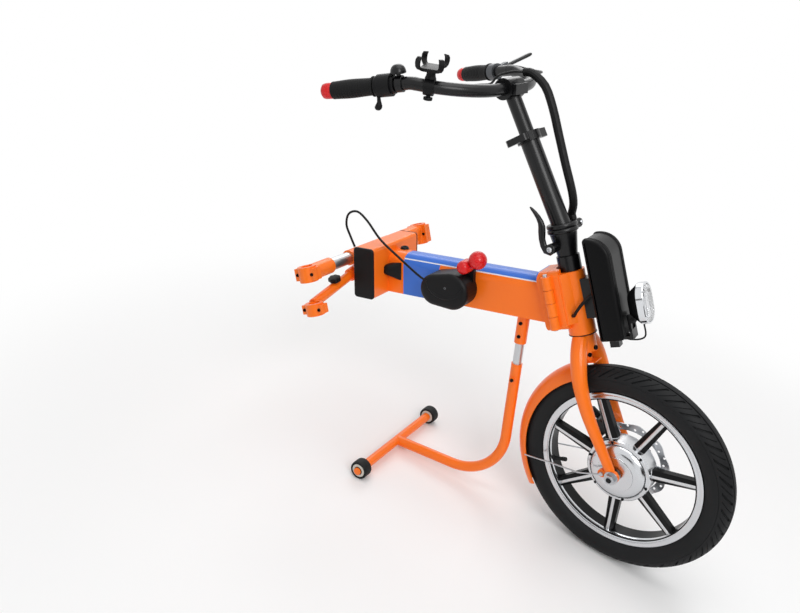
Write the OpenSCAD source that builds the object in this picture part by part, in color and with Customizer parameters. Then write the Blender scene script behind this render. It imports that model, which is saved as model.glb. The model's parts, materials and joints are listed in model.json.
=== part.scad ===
// Clip-on front-wheel power unit for a manual wheelchair, parked on its own stand.
// Millimetres. X points forward, Y to the rider's left, Z up.
// The origin is on the floor under the front axle.

/* [Stance] */
// Angle that the front wheel is turned at rest, negative to the rider's right
steer_rest = -7.5; // [-20:0.5:20]
// Lean of the steering axis back from upright, beam level
head_lean = 16; // [8:0.5:24]
// Forward offset of the axle from the steering axis
fork_rake = 26; // [10:1:50]

/* [Front wheel] */
// Height of the tyre above the rim's flange
tyre_h = 48; // [42:1:54]
// Half width of the tyre's section
tyre_half = 26.5; // [20:0.5:30]
// Wall of the tyre
tyre_wall = 4; // [3:0.5:6]
// Radius of the rim's flange
rim_r = 158; // [150:1:166]
// Half width of the rim
rim_half = 18; // [14:0.5:20]
// Number of cast spokes
spoke_n = 7; // [5:1:9]
// Width of a spoke at the hub
spoke_w = 24; // [16:1:30]
// Width of a spoke at the rim
spoke_tip_w = 18; // [12:1:24]
// Width of the ridge along a spoke
ridge_w = 4; // [2:0.5:8]
// Turn of the first spoke from upright
spoke_turn = -21; // [-26:1:26]
// Depth of a spoke along the axle
spoke_d = 24; // [16:1:30]
// Radius of the hub motor's shell
hub_r = 62; // [58:1:80]
// Half width of the hub motor's shell
hub_half = 16; // [15:0.5:18]
// Bulge of the hub covers
hub_bulge = 16.5; // [14:0.5:16.5]
// Radius of the axle at its bearings
axle_r = 8.4; // [7:0.1:10]
// Radius of the axle's threaded ends
axle_end_r = 6; // [5:0.1:6.5]
// Outer radius of the wheel bearings
wheel_bearing_r = 17; // [15:0.5:20]
// Width of the wheel bearings
wheel_bearing_w = 10; // [8:1:12]

/* [Brake] */
// Radius of the brake disc
disc_r = 80; // [70:1:90]
// Thickness of the brake disc
disc_t = 2; // [1.6:0.1:3]
// Distance of the brake disc from the middle plane
disc_y = 29; // [28.5:0.1:30]
// Place of the caliper round the axle, degrees up from forward
caliper_angle = 141; // [125:1:150]

/* [Fork] */
// Radius of a fork leg at the crown
leg_top_r = 15; // [12:0.5:16]
// Radius of a fork leg at the dropout
leg_low_r = 9; // [7:0.5:11]
// Distance of the dropouts from the middle plane
dropout_y = 43; // [42.5:0.5:50]
// Thickness of a dropout
dropout_t = 8; // [6:0.5:10]
// Gap from the tyre to the outside of the fender
fender_gap = 12; // [9:1:16]
// Thickness of the fender's sheet
fender_t = 2; // [1.5:0.5:3]
// Place of the fender's rear end round the axle, degrees up from forward
fender_end = 209; // [195:1:215]

/* [Head] */
// Gap from the fender to the foot of the head tube
crown_gap = 44; // [40:1:56]
// Length of the head tube
head_len = 120; // [110:1:140]
// Radius of the head tube
head_r = 25; // [23:0.5:30]
// Radius of the steerer tube
steerer_r = 14.3; // [12:0.1:15]
// Outer radius of the headset bearings
headset_r = 20; // [18:0.5:21]
// Height of a headset bearing
headset_h = 8; // [6:0.5:10]

/* [Frame hinge] */
// Distance of the hinge seam behind the steering axis
seam_back = 31; // [28:1:36]
// Thickness of each hinge flange
flange_t = 21; // [16:0.5:26]
// Width of the hinge flanges
flange_w = 80; // [70:1:90]
// Height of the hinge flanges
flange_h = 112; // [104:1:124]
// Radius of a hinge knuckle
knuckle_r = 9; // [7:0.5:11]
// Radius of the frame hinge pin
hinge_pin_r = 4; // [3:0.5:5]

/* [Handlepost] */
// Height of the stem base over the head tube, up to the fold hinge
stem_base_h = 79; // [70:1:100]
// Extra lean of the handlepost behind the steering axis
post_kick = 10.7; // [6:0.1:14]
// Radius of the lower handlepost
post_r = 17.5; // [16:0.5:20]
// Length of the lower handlepost
post_len = 180; // [160:1:220]
// Radius of the quill that slides in the handlepost
quill_r = 13.5; // [12:0.5:14]
// Distance of the bar's centre from the fold hinge along the post
bar_h = 265; // [250:1:310]
// Thickness of each fold hinge plate
plate_t = 8; // [6:0.5:10]
// Radius of the fold hinge pin
fold_pin_r = 3.5; // [3:0.5:4.5]

/* [Handlebar] */
// Radius of the handlebar tube
bar_r = 11.1; // [11:0.1:12.7]
// Half length of the bar's straight middle
bar_mid = 34; // [30:1:60]
// Bend radius of the bar
bar_bend = 131; // [100:1:150]
// Backward sweep of the bar's ends
bar_sweep = 72; // [60:1:85]
// Rise of the bar's bends, as a slope
bar_rise = 10.5; // [0:0.5:14]
// Droop of the bar's ends below the slope of its bends
bar_droop = 15.7; // [8:0.1:20]
// Radius of the droop's bend
droop_r = 60; // [40:1:90]
// Length of the bar's straight ends
bar_tail = 150; // [146:1:180]
// Length of a grip
grip_len = 92; // [84:1:96]
// Radius of the end plugs
plug_r = 12.5; // [11.5:0.1:14]
// Radius of a grip
grip_r = 15.5; // [14:0.5:18]

/* [Beam] */
// Width of the beam
beam_w = 60; // [50:1:66]
// Distance of the beam's top under the head tube's top, beam level
beam_drop = 17; // [10:1:24]
// Depth of the beam at the dock
beam_depth_rear = 84; // [76:1:90]
// Depth of the beam at the frame hinge
beam_depth_front = 82; // [76:1:96]
// Rounding of the beam's top edges
beam_round = 24; // [10:1:26]
// Wall of the beam
beam_wall = 3; // [2:0.5:4]

/* [Dock] */
// Distance of the dock box's front face behind the front axle
dock_x = 511; // [500:1:530]
// Depth of the dock box
dock_d = 47; // [40:1:56]
// Half width of the dock box
dock_half = 82; // [75:1:90]
// Distance of the dock box's top over the beam's top
dock_rise = 17; // [10:1:24]
// Height of the dock box
dock_h = 105; // [98:1:112]
// Thickness of the dock's end caps
cap_t = 5; // [3:0.5:8]
// Distance of the cross tube's middle under the beam's top
cross_drop = 12; // [6:1:20]
// Radius of the cross tube
cross_r = 12.5; // [11:0.1:13]
// Distance of the clamps from the middle plane
clamp_y = 205; // [190:1:230]
// Radius of the wheelchair tube that the clamps hold
clamp_bore_r = 11.1; // [9.5:0.1:12.7]
// Lean of the clamped tube, beam level
clamp_lean = 11.5; // [0:0.5:16]
// Height of a clamp along its tube
clamp_h = 30; // [24:1:36]
// Radius of the lower brace
brace_r = 10; // [8:0.5:11]
// Downward slope of the lower brace
brace_slope = 12.2; // [8:0.1:16]

/* [Lock] */
// Radius of the red ball
ball_r = 17.5; // [12:0.5:19]
// Radius of the red lever hub
lever_hub_r = 13; // [10:0.5:15]
// Depth of the lock cover
cover_d = 45; // [38:1:50]

/* [Stand] */
// Lean of the stand leg
stand_lean = 5.1; // [3:0.1:8]
// Radius of the stand's inner tube
inner_r = 9; // [8:0.1:10]
// Radius of the stand leg
leg_r = 11; // [10.6:0.1:13]
// Length of the stand socket
socket_len = 62; // [50:1:75]
// Length of inner tube that shows
inner_show = 46; // [20:1:60]
// Distance from the beam to the stand's bend
stand_drop = 277.5; // [265:0.5:300]
// Bend radius of the stand
stand_bend = 115; // [90:1:120]
// Length of the stand's foot behind its bend
foot_len = 143; // [130:1:160]
// Half distance between the rollers
track_half = 143; // [130:1:160]
// Radius of a roller
roller_r = 20; // [16:0.5:24]
// Width of a roller
roller_w = 24; // [18:1:30]
// Radius of a roller's axle
roller_axle_r = 5; // [4:0.5:6]

/* [Battery] */
// Distance of the battery in front of the steering axis
battery_x = 44; // [40:1:50]
// Depth of the battery
battery_d = 44; // [43:0.5:50]
// Width of the battery
battery_w = 80; // [76:1:96]
// Height of the battery's underside along the steering axis
battery_low = 252; // [246:1:258]
// Height of the battery
battery_h = 187; // [186:1:210]
// Rounding of the battery's upper front edge
battery_round = 38; // [20:1:40]
// Wall of the battery's shells
battery_wall = 3; // [2:0.1:3.4]
// Radius of a battery cell
cell_r = 9; // [8.5:0.1:9.1]
// Number of cell rows
cell_rows = 8; // [6:1:8]

/* [Lamp] */
// Height of the headlamp
lamp_h = 72; // [60:1:80]
// Width of the headlamp
lamp_w = 56; // [48:1:64]
// Depth of the headlamp
lamp_d = 30; // [26:1:36]

/* [Fits] */
// Gap between faces on parts that move apart
seam_gap = 0.4; // [0.3:0.1:0.6]
// Radial clearance of running and sliding fits
run_fit = 0.06; // [0.03:0.01:0.1]
// Radial clearance of pieces fixed in one another
seat_fit = 0.04; // [0.02:0.01:0.08]

/* [Hidden] */
$fn = 48;

orange = "#f26a1b";
black = "#1d1e20";
steel = "#b9bcc0";
red = "#d22a2a";

// Places worked out from the driving sizes
wheel_r = rim_r + tyre_h;
fender_r = wheel_r + fender_gap;
head_low = fender_r + crown_gap;
axis_x = -fork_rake / cos(head_lean);
axle_drop = fork_rake * tan(head_lean);
head_high = head_low + head_len;
fold_h = head_high + stem_base_h;
beam_top = wheel_r + head_high * cos(head_lean) - beam_drop;
beam_low_rear = beam_top - beam_depth_rear;
beam_low_front = beam_top - beam_depth_front;
// Where the beam's underside meets the hinge flange, before it is cut to it
beam_nose = -120;
function beam_under(x) = beam_low_front
    + (beam_low_rear - beam_low_front) * (beam_nose - x) / (dock_x + beam_nose);
dock_low = beam_top + dock_rise - dock_h;
cross_z = beam_top - cross_drop;
flange_low = head_low + 16;
pin_y = -flange_w / 2 - 6;
knuckle_n = 4;
knuckle_h = (flange_h - 12) / knuckle_n;
stand_x = -216.6;
stand_z = beam_under(stand_x) - 1.5;
tee_x = -(stand_bend + foot_len);
tee_z = -(stand_drop + stand_bend);
tee_run = stand_x + tee_x * cos(stand_lean) + tee_z * sin(stand_lean);
tee_rise = stand_z - tee_x * sin(stand_lean) + tee_z * cos(stand_lean);
tee_reach = norm([tee_run, wheel_r - tee_rise]);
park_pitch = asin((wheel_r - roller_r) / tee_reach) - atan2(wheel_r - tee_rise, -tee_run);
cross_x = -(dock_x + dock_d + 22);
section_r = wheel_r - tyre_half;

// Places the unit on the floor, nose up on its wheel and its stand's rollers
module parked() {
    translate([0, 0, wheel_r]) rotate([0, -park_pitch, 0]) translate([0, 0, -wheel_r]) children();
}

// Z along the steering axis, origin on it at the height of the axle
module on_head() {
    parked() translate([axis_x, 0, wheel_r]) rotate([0, -head_lean, 0]) children();
}

// The same, turned with the front wheel
module on_fork() {
    on_head() rotate([0, 0, steer_rest]) children();
}

// Y along the axle, origin at the wheel's centre
module on_wheel() {
    on_fork() axle_place() children();
}

// Z along the handlepost, origin at its fold hinge
module on_post() {
    on_fork() translate([0, 0, fold_h]) rotate([0, -post_kick, 0]) children();
}

// Level when the beam is level, origin at the bar's centre
module on_bar() {
    on_post() translate([0, 0, bar_h]) rotate([0, head_lean + post_kick, 0]) children();
}

// X along a bar end, from the end of its bend; side is 1 on the rider's left
module on_tail(side) {
    on_bar() tail_place(side) children();
}
module bend_end(side) {
    rotate([0, bar_rise, 0])
        translate([-bar_bend * (1 - cos(bar_sweep)), side * (bar_mid + bar_bend * sin(bar_sweep)), 0])
            rotate([0, 0, side * (90 + bar_sweep)]) children();
}
module tail_place(side) {
    bend_end(side) translate([droop_r * sin(bar_droop), 0, -droop_r * (1 - cos(bar_droop))])
        rotate([0, bar_droop, 0]) children();
}

// Points beside the bar, in the bar's own place, for the cables
function turn_y(p, a) = [p[0] * cos(a) + p[2] * sin(a), p[1], p[2] * cos(a) - p[0] * sin(a)];
function turn_z(p, a) = [p[0] * cos(a) - p[1] * sin(a), p[0] * sin(a) + p[1] * cos(a), p[2]];
function tail_point(side, p) = turn_y(turn_z(turn_y(p, bar_droop)
    + [droop_r * sin(bar_droop), 0, -droop_r * (1 - cos(bar_droop))], side * (90 + bar_sweep))
    + [-bar_bend * (1 - cos(bar_sweep)), side * (bar_mid + bar_bend * sin(bar_sweep)), 0], bar_rise);
function bend_point(side, a, in, z) = turn_y([(bar_bend - in) * cos(a) - bar_bend,
    side * (bar_mid + (bar_bend - in) * sin(a)), z], bar_rise);

// Z up along the stand leg, origin at the beam's underside
module on_stand() {
    parked() translate([stand_x, 0, stand_z]) rotate([0, stand_lean, 0]) children();
}

// Z up along the wheelchair tube that a clamp holds, origin at the cross tube's height
module on_clamp(side) {
    parked() translate([cross_x, side * clamp_y, cross_z]) rotate([0, -clamp_lean, 0]) children();
}

// X outwards along the lower brace, from the middle plane to the rider's right
brace_z = cross_z - 23;
module brace_place() {
    translate([cross_x, 0, brace_z]) rotate([0, 0, -90]) rotate([0, brace_slope, 0]) children();
}
module on_brace() {
    parked() brace_place() children();
}

// Flat rectangle with true round corners, centred
module rounded(w, h, r) {
    square([w - 2 * r, h], center = true);
    square([w, h - 2 * r], center = true);
    for (x = [-1, 1], y = [-1, 1])
        translate([x * (w / 2 - r), y * (h / 2 - r)]) circle(r);
}

// Cylinder along Y between two places
module along_y(r, y0, y1) {
    translate([0, y0, 0]) rotate([-90, 0, 0]) cylinder(r = r, h = y1 - y0);
}

// Cylinder along X between two places
module along_x(r, x0, x1) {
    translate([x0, 0, 0]) rotate([0, 90, 0]) cylinder(r = r, h = x1 - x0);
}

// Plate square to X, with its outline drawn in Y and Z
module plate_x(x0, x1) {
    translate([x0, 0, 0]) rotate([90, 0, 90]) linear_extrude(x1 - x0) children();
}

// Plate square to Y, with its outline drawn in X and Z
module plate_y(y0, y1) {
    translate([0, y1, 0]) rotate([90, 0, 0]) linear_extrude(y1 - y0) children();
}

// Tube swept along points, with a radius at each
function unit(v) = v / norm(v);
function way(p, i) = unit(p[min(i + 1, len(p) - 1)] - p[max(i - 1, 0)]);
module swept(p, radii, sides, ref = [0, 1, 0]) {
    n = len(p);
    rings = [for (i = [0 : n - 1])
        let (t = way(p, i), u = unit(cross(t, ref)), w = cross(u, t))
        for (k = [0 : sides - 1])
            p[i] + radii[i] * (cos(360 * k / sides) * u + sin(360 * k / sides) * w)];
    walls = [for (i = [0 : n - 2], k = [0 : sides - 1])
        let (a = i * sides + k, b = i * sides + (k + 1) % sides)
        each [[a, b, a + sides], [b, b + sides, a + sides]]];
    ends = [for (k = [1 : sides - 2])
        each [[0, k + 1, k], [(n - 1) * sides, (n - 1) * sides + k, (n - 1) * sides + k + 1]]];
    polyhedron(rings, concat(walls, ends));
}

// Smooth run of points through a few chosen ones
function spline(p, steps) = [for (i = [0 : len(p) - 2], s = [0 : steps - 1])
    let (t = s / steps, a = p[max(i - 1, 0)], b = p[i], c = p[i + 1],
        d = p[min(i + 2, len(p) - 1)])
    b + 0.5 * t * ((c - a) + t * ((2 * a - 5 * b + 4 * c - d) + t * (3 * (b - c) + d - a)))];
function route(p, steps) = concat(spline(p, steps), [p[len(p) - 1]]);
module cable(points, r, sides, ref = [0, 1, 0], steps = 4) {
    p = route(points, steps);
    swept(p, [for (q = p) r], sides, ref);
}

// Front wheel

module turned() {
    rotate([90, 0, 0]) rotate_extrude($fn = 96) children();
}

module tyre() color(black) on_wheel() turned() difference() {
    union() {
        translate([section_r, 0]) circle(tyre_half);
        translate([rim_r - 5, -rim_half + 3]) square([section_r - rim_r + 5, 2 * rim_half - 6]);
    }
    translate([section_r, 0]) circle(tyre_half - tyre_wall);
    translate([0, -tyre_half]) square([rim_r - 4, 2 * tyre_half]);
    for (s = [-1, 1]) translate([0, s * rim_half - (s > 0 ? 3 : tyre_half - 3)])
        square([rim_r + seam_gap, tyre_half]);
    translate([rim_r - 6, -rim_half + 3 + tyre_wall])
        square([section_r - rim_r, 2 * (rim_half - 3 - tyre_wall)]);
}

rim_in = rim_r - 14;
module rim() color(steel) on_wheel() {
    turned() difference() {
        translate([rim_in, -rim_half]) square([rim_r - rim_in, 2 * rim_half]);
        translate([rim_r - 4 - seam_gap, -rim_half + 3 - seam_gap])
            square([5, 2 * (rim_half - 3 + seam_gap)]);
        translate([rim_r - 10, -rim_half + 9]) square([7, 2 * (rim_half - 9)]);
    }
    turned() translate([hub_r - 5, -hub_half]) square([5, 2 * hub_half]);
    for (i = [0 : spoke_n - 1]) rotate([0, 360 * i / spoke_n + spoke_turn, 0]) spoke();
}
// Tapered spoke, ridged on both faces
function spoke_ring(w, z) = [[-w / 2, spoke_d / 4, z], [-ridge_w / 2, spoke_d / 2, z],
    [ridge_w / 2, spoke_d / 2, z], [w / 2, spoke_d / 4, z], [w / 2, -spoke_d / 4, z],
    [ridge_w / 2, -spoke_d / 2, z], [-ridge_w / 2, -spoke_d / 2, z], [-w / 2, -spoke_d / 4, z]];
module spoke() {
    polyhedron(concat(spoke_ring(spoke_w, hub_r - 2), spoke_ring(spoke_tip_w, rim_in + 1)),
        concat([for (k = [0 : 7]) each [[k, (k + 1) % 8, 8 + k], [(k + 1) % 8, 8 + (k + 1) % 8, 8 + k]]],
            [[7, 6, 5, 4, 3, 2, 1, 0], [8, 9, 10, 11, 12, 13, 14, 15]]));
}

// Dished cover of the hub motor, in the half plane of radius and distance outwards
cover_t = 4;
cover_lip = 8;
boss_r = 32;
face_r = 43;
module cover_outline(bulge) {
    difference() {
        polygon(concat([[wheel_bearing_r + seat_fit, hub_half], [hub_r, hub_half]],
            [for (a = [10 : 10 : 90]) [face_r + (hub_r - face_r) * cos(a), hub_half + bulge * sin(a)]],
            [[wheel_bearing_r + seat_fit, hub_half + bulge]]));
        polygon([[wheel_bearing_r + cover_t, hub_half - 1], [hub_r - cover_lip, hub_half - 1],
            [hub_r - cover_lip, hub_half + 1], [face_r, hub_half + bulge - cover_t],
            [wheel_bearing_r + cover_t, hub_half + bulge - cover_t]]);
    }
}

module hub_cover_right() color(steel) on_wheel() rotate([90, 0, 0]) rotate_extrude($fn = 96)
    cover_outline(hub_bulge);

disc_seat = disc_y - disc_t / 2;
module hub_cover_left() color(steel) on_wheel() rotate([-90, 0, 0]) {
    rotate_extrude($fn = 96) cover_outline(disc_seat - hub_half - 6);
    translate([0, 0, disc_seat - 6]) difference() {
        cylinder(r = boss_r, h = 6);
        translate([0, 0, -1]) cylinder(r = wheel_bearing_r + seat_fit, h = 8);
    }
}

magnet_t = 5;
module magnet_ring() color("#6b6f75") on_wheel()
    turned() translate([hub_r - 5 - seat_fit - magnet_t, 3 - hub_half]) square([magnet_t, 2 * hub_half - 6]);

module brake_disc() color(steel) on_wheel() plate_y(disc_seat, disc_seat + disc_t) difference() {
    polygon([for (a = [0 : 2.5 : 357.5])
        (disc_r - 2 + 2 * sin(10 * a)) * [cos(a), sin(a)]]);
    circle(wheel_bearing_r + 4);
    for (i = [0 : 5]) rotate(60 * i)
        polygon([for (a = [8 : 4 : 52]) (disc_r - 16) * [cos(a), sin(a)],
            for (a = [44 : -4 : 16]) (boss_r + 4) * [cos(a), sin(a)]]);
    for (i = [0 : 29]) rotate(12 * i) translate([disc_r - (i % 2 == 0 ? 6 : 11), 0]) circle(2.4);
    for (i = [0 : 5]) rotate(60 * i) translate([boss_r - 6, 0]) circle(2.6);
}

module wheel_bearings() color(steel) on_wheel() for (s = [-1, 1])
    translate([0, s * (hub_half + 1 + wheel_bearing_w / 2), 0]) turned()
        translate([axle_r + run_fit, -wheel_bearing_w / 2])
            square([wheel_bearing_r - axle_r - run_fit, wheel_bearing_w]);

axle_half = dropout_y + dropout_t / 2 + 11;
shoulder_y = dropout_y - dropout_t / 2 - 0.2;
module motor_axle() color(steel) on_wheel() {
    along_y(axle_r, -shoulder_y, shoulder_y);
    along_y(axle_end_r, -axle_half, axle_half);
}

stator_r = hub_r - 5 - magnet_t - 0.8;
module motor_stator() color("#b5713a") on_wheel() plate_y(4 - hub_half, hub_half - 4) difference() {
    circle(stator_r, $fn = 96);
    circle(axle_r + seat_fit);
    for (i = [0 : 17]) rotate(20 * i) translate([stator_r - 9, 0]) square([14, 5], center = true);
    for (i = [0 : 5]) rotate(60 * i) translate([(stator_r - 14 + axle_r) / 2, 0]) circle(7);
}

module axle_nuts() color(steel) on_wheel() for (s = [-1, 1])
    translate([0, s * (dropout_y + dropout_t / 2), 0]) rotate([-90 * s, 0, 0]) difference() {
        union() {
            cylinder(r = 13, h = 2);
            translate([0, 0, 2]) cylinder(r = 10.5, h = 8, $fn = 6);
        }
        translate([0, 0, -1]) cylinder(r = axle_end_r + seat_fit, h = 12);
    }

// Steering

head_gap = 0.5;
crown_top = head_low - head_gap;
crown_h = 34;
crown_low = crown_top - crown_h;
crown_r = head_r - 4;
steerer_top = fold_h - plate_t - 0.2;
fork_path = [[0, 8, crown_top - 2], [0, 19, crown_top - 14], [0, 30, crown_top - 31],
    [0, 38, crown_top - 52], [0, 45, crown_top - 80], [1, 46.5, crown_top - 113],
    [4, 46, crown_top - 148], [9, dropout_y + 2, crown_top - 180],
    [16, dropout_y, crown_top - 218], [fork_rake, dropout_y, 4 - axle_drop]];
leg_path = route(fork_path, 3);
leg_radii = [for (i = [0 : len(leg_path) - 1])
    leg_top_r + (leg_low_r - leg_top_r) * max(0, i - 9) / (len(leg_path) - 10)];
// Wheel's place and slant inside the turned head
module axle_place() {
    translate([fork_rake, 0, -axle_drop]) rotate([0, head_lean, 0]) children();
}
module fork() color(orange) on_fork() difference() {
    union() {
        translate([0, 0, crown_low]) cylinder(r = crown_r, h = crown_h);
        translate([0, 0, crown_low]) cylinder(r = steerer_r, h = steerer_top - crown_low);
        for (s = [-1, 1]) mirror([0, s < 0 ? 1 : 0, 0]) {
            difference() {
                swept(leg_path, leg_radii, 20, [1, 0, 0]);
                translate([-60, -60, crown_top]) cube([120, 120, 60]);
            }
            axle_place() along_y(13, dropout_y - dropout_t / 2, dropout_y + dropout_t / 2);
            axle_place() translate([stay_x, 0, 2])
                along_y(8, dropout_y - dropout_t / 2, dropout_y + dropout_t / 2);
        }
        axle_place() rotate([0, -caliper_angle, 0])
            translate([caliper_r - 8, disc_y + 5, -46]) cube([14, 10, 46 - caliper_h / 2 - 0.2]);
    }
    translate([0, 0, crown_low + 6]) cylinder(r = steerer_r - 2.5, h = fold_h);
    axle_place() along_y(axle_end_r + seat_fit, -dropout_y - dropout_t, dropout_y + dropout_t);
    for (s = [-1, 1]) mirror([0, s < 0 ? 1 : 0, 0]) axle_place() {
        along_y(leg_low_r + 6, dropout_y + dropout_t / 2, dropout_y + dropout_t + 8);
        along_y(leg_low_r + 6, dropout_y - dropout_t - 8, dropout_y - dropout_t / 2);
    }
}

module headset_bearings() color(steel) on_head()
    for (z = [head_low, head_high - headset_h]) translate([0, 0, z]) difference() {
        cylinder(r = headset_r, h = headset_h);
        translate([0, 0, -1]) cylinder(r = steerer_r + run_fit, h = headset_h + 2);
    }

fold_y = 37;
fold_knuckle_r = 7;
// Outline of a fold hinge plate, seen along the steering axis
module fold_plate() {
    difference() {
        union() {
            circle(26);
            translate([-18, 0]) square([36, fold_y]);
        }
        translate([-30, fold_y]) square([60, 30]);
    }
}
module fold_knuckle(x0, x1) {
    translate([0, fold_y, fold_h]) along_x(fold_knuckle_r, x0, x1);
}
latch_z = fold_h - 30;
latch_x = -8;
latch_y0 = -33;
cup_h = 28;
module stem_base() color(black) on_fork() {
    difference() {
        union() {
            translate([0, 0, head_high + head_gap]) cylinder(r = 21, h = cup_h - head_gap);
            translate([0, 0, head_high + cup_h])
                cylinder(r1 = 18, r2 = 25, h = stem_base_h - cup_h - plate_t);
            translate([0, 0, fold_h - plate_t]) linear_extrude(plate_t - seam_gap / 2) fold_plate();
            for (x = [[-18, -9], [9, 18]]) fold_knuckle(x[0], x[1]);
            translate([latch_x, 0, latch_z]) along_y(9, latch_y0, -14);
        }
        translate([0, fold_y, fold_h])
            along_x(fold_knuckle_r + seam_gap, -9 - seam_gap, 9 + seam_gap);
        translate([0, 0, head_high])
            cylinder(r = steerer_r + seat_fit, h = fold_h - head_high - plate_t);
        translate([latch_x, 0, latch_z]) along_y(4 + run_fit, latch_y0 - 1, latch_y0 + 10);
    }
    translate([0, fold_y, fold_h]) along_x(fold_pin_r, -18, 18);
}

module stem_latch() color(black) on_fork() translate([latch_x, 0, 0]) {
    plate_y(latch_y0 - seam_gap - 11, latch_y0 - seam_gap) union() {
        translate([0, latch_z]) circle(10);
        translate([0, latch_z]) polygon([[4, -9], [-10, -8], [-22, 2], [-31, 20], [-36, 44], [-44, 62],
            [-53, 78], [-47, 82], [-36, 67], [-26, 49], [-19, 33], [-9, 20], [6, 8]]);
    }
    translate([0, 0, latch_z]) along_y(4, latch_y0 - 2, latch_y0 + 9);
}

fender_arc = 33;
fender_core = fender_r - fender_arc;
// Section of the fender, from one edge to the other
module fender_section(half_angle) {
    polygon([for (a = [-half_angle : 8 : half_angle])
            [fender_core + fender_arc * cos(a), fender_arc * sin(a)],
        for (a = [half_angle : -8 : -half_angle])
            [fender_core + (fender_arc - fender_t) * cos(a), (fender_arc - fender_t) * sin(a)]]);
}
// Height of the fender's sheet where the crown's boss meets it
fender_seat = sqrt(pow(fender_r - 1.5 * fender_t, 2) - pow(fork_rake, 2)) - axle_drop;
crown_turn = atan2(crown_low + axle_drop, -fork_rake) + head_lean;
wide_from = 119;
tongue_half = 13;
tongue_from = crown_turn - 5;
module fender() color(orange) {
    on_wheel() rotate([0, -wide_from, 0]) rotate([90, 0, 0])
        rotate_extrude(angle = fender_end - wide_from, $fn = 96) fender_section(80);
    on_wheel() rotate([0, -tongue_from, 0]) rotate([90, 0, 0])
        rotate_extrude(angle = wide_from - tongue_from + 2, $fn = 96)
            translate([fender_r - 1.5 * fender_t - 1, -tongue_half]) square([fender_t, 2 * tongue_half]);
    on_fork() translate([0, 0, fender_seat]) cylinder(r = 8, h = crown_low - fender_seat - 0.2);
}

stay_x = -19;
stay_y = dropout_y + dropout_t / 2 + 0.4;
module fender_stays() color(steel) on_wheel() for (s = [-1, 1]) mirror([0, s < 0 ? 1 : 0, 0]) {
    swept([[29 - fender_r, 34.6, -30], [-125, 40, -22], [-67, 46, -16], [stay_x - 10, stay_y + 2.6, -2],
        [stay_x, stay_y + 2.6, 1]], [1.6, 1.6, 1.6, 1.6, 1.6], 8, [0, 0, 1]);
    translate([stay_x, 0, 2]) along_y(4, stay_y, stay_y + 3.6);
}

caliper_r = disc_r + 1;
caliper_w = 30;
caliper_h = 36;
caliper_out = disc_y + 18;
module at_caliper() {
    on_wheel() rotate([0, -caliper_angle, 0]) translate([caliper_r, 0, 0]) children();
}
module brake_caliper() color(black) at_caliper() difference() {
    plate_y(disc_y - 11, caliper_out) rounded(caliper_w, caliper_h, 7);
    translate([-40, disc_y - disc_t / 2 - 1, -40]) cube([50, disc_t + 2, 80]);
    along_y(4 + run_fit, caliper_out - 8, caliper_out + 1);
}

arm_len = 36;
module caliper_arm() color(black) at_caliper() {
    along_y(4, caliper_out - 7, caliper_out + 5);
    plate_y(caliper_out + seam_gap, caliper_out + 5) union() {
        circle(9);
        polygon([[0, -9], [0, 9], [arm_len, 5], [arm_len + 4, 0], [arm_len, -5]]);
    }
}

module brake_cable() color(black) on_wheel()
    cable([[-98, caliper_out + 8, 72], [-101, caliper_out + 6, 100], [-106, 52, 140], [-112, 46, wheel_r - 26],
        [-114.5, 34, wheel_r], [-113.4, 30, wheel_r + 10.1], [-105.7, 30, wheel_r + 12.3]], 2.5, 8);

// Handlepost

module lower_post() color(black) {
    difference() {
        union() {
            on_fork() translate([0, 0, fold_h + seam_gap / 2]) linear_extrude(plate_t) fold_plate();
            on_fork() fold_knuckle(-9 + seam_gap, 9 - seam_gap);
            on_post() translate([0, 0, -6]) cylinder(r = post_r, h = post_len + 6);
        }
        on_fork() translate([0, 0, fold_h + seam_gap / 2 - 40]) difference() {
            translate([-60, -60, 0]) cube([120, 120, 40]);
            translate([0, fold_y, 40 - seam_gap / 2]) along_x(fold_knuckle_r, -9, 9);
        }
        on_fork() for (x = [[-19, -9], [9, 19]]) translate([0, fold_y, fold_h])
            along_x(fold_knuckle_r + seam_gap, x[0] - seam_gap, x[1] + seam_gap);
        on_fork() translate([0, fold_y, fold_h]) along_x(fold_pin_r + run_fit, -30, 30);
        on_post() translate([0, 0, 16]) cylinder(r = quill_r + run_fit, h = post_len);
    }
}

collar_h = 16;
collar_r = post_r + 5;
module post_collar() color(black) on_post() translate([0, 0, post_len - collar_h]) difference() {
    union() {
        cylinder(r = collar_r, h = collar_h);
        translate([8, -collar_r - 5, 0]) cube([10, 2 * collar_r + 16, collar_h]);
    }
    translate([0, 0, -1]) cylinder(r = post_r + seat_fit, h = collar_h + 2);
}

module post_lever() color(black) on_post()
    translate([13, -collar_r - 5 - seam_gap, post_len - collar_h / 2]) {
    translate([0, 0, -6]) linear_extrude(12) union() {
        translate([0, -8]) circle(8);
        polygon([[-8, -8], [-30, -10], [-34, -14], [-30, -18], [0, -16]]);
    }
}

clamp_r = 19;
module stem_quill() color(black) difference() {
    union() {
        on_post() translate([0, 0, 64]) cylinder(r = quill_r, h = bar_h - 64);
        on_bar() along_y(clamp_r, -24, 24);
        on_bar() translate([clamp_r - 3, -20, -9]) cube([9, 40, 18]);
    }
    on_bar() along_y(bar_r + seat_fit, -26, 26);
    on_post() translate([0, 0, 60]) cylinder(r = quill_r - 2.5, h = bar_h - 60 - clamp_r);
}

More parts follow.
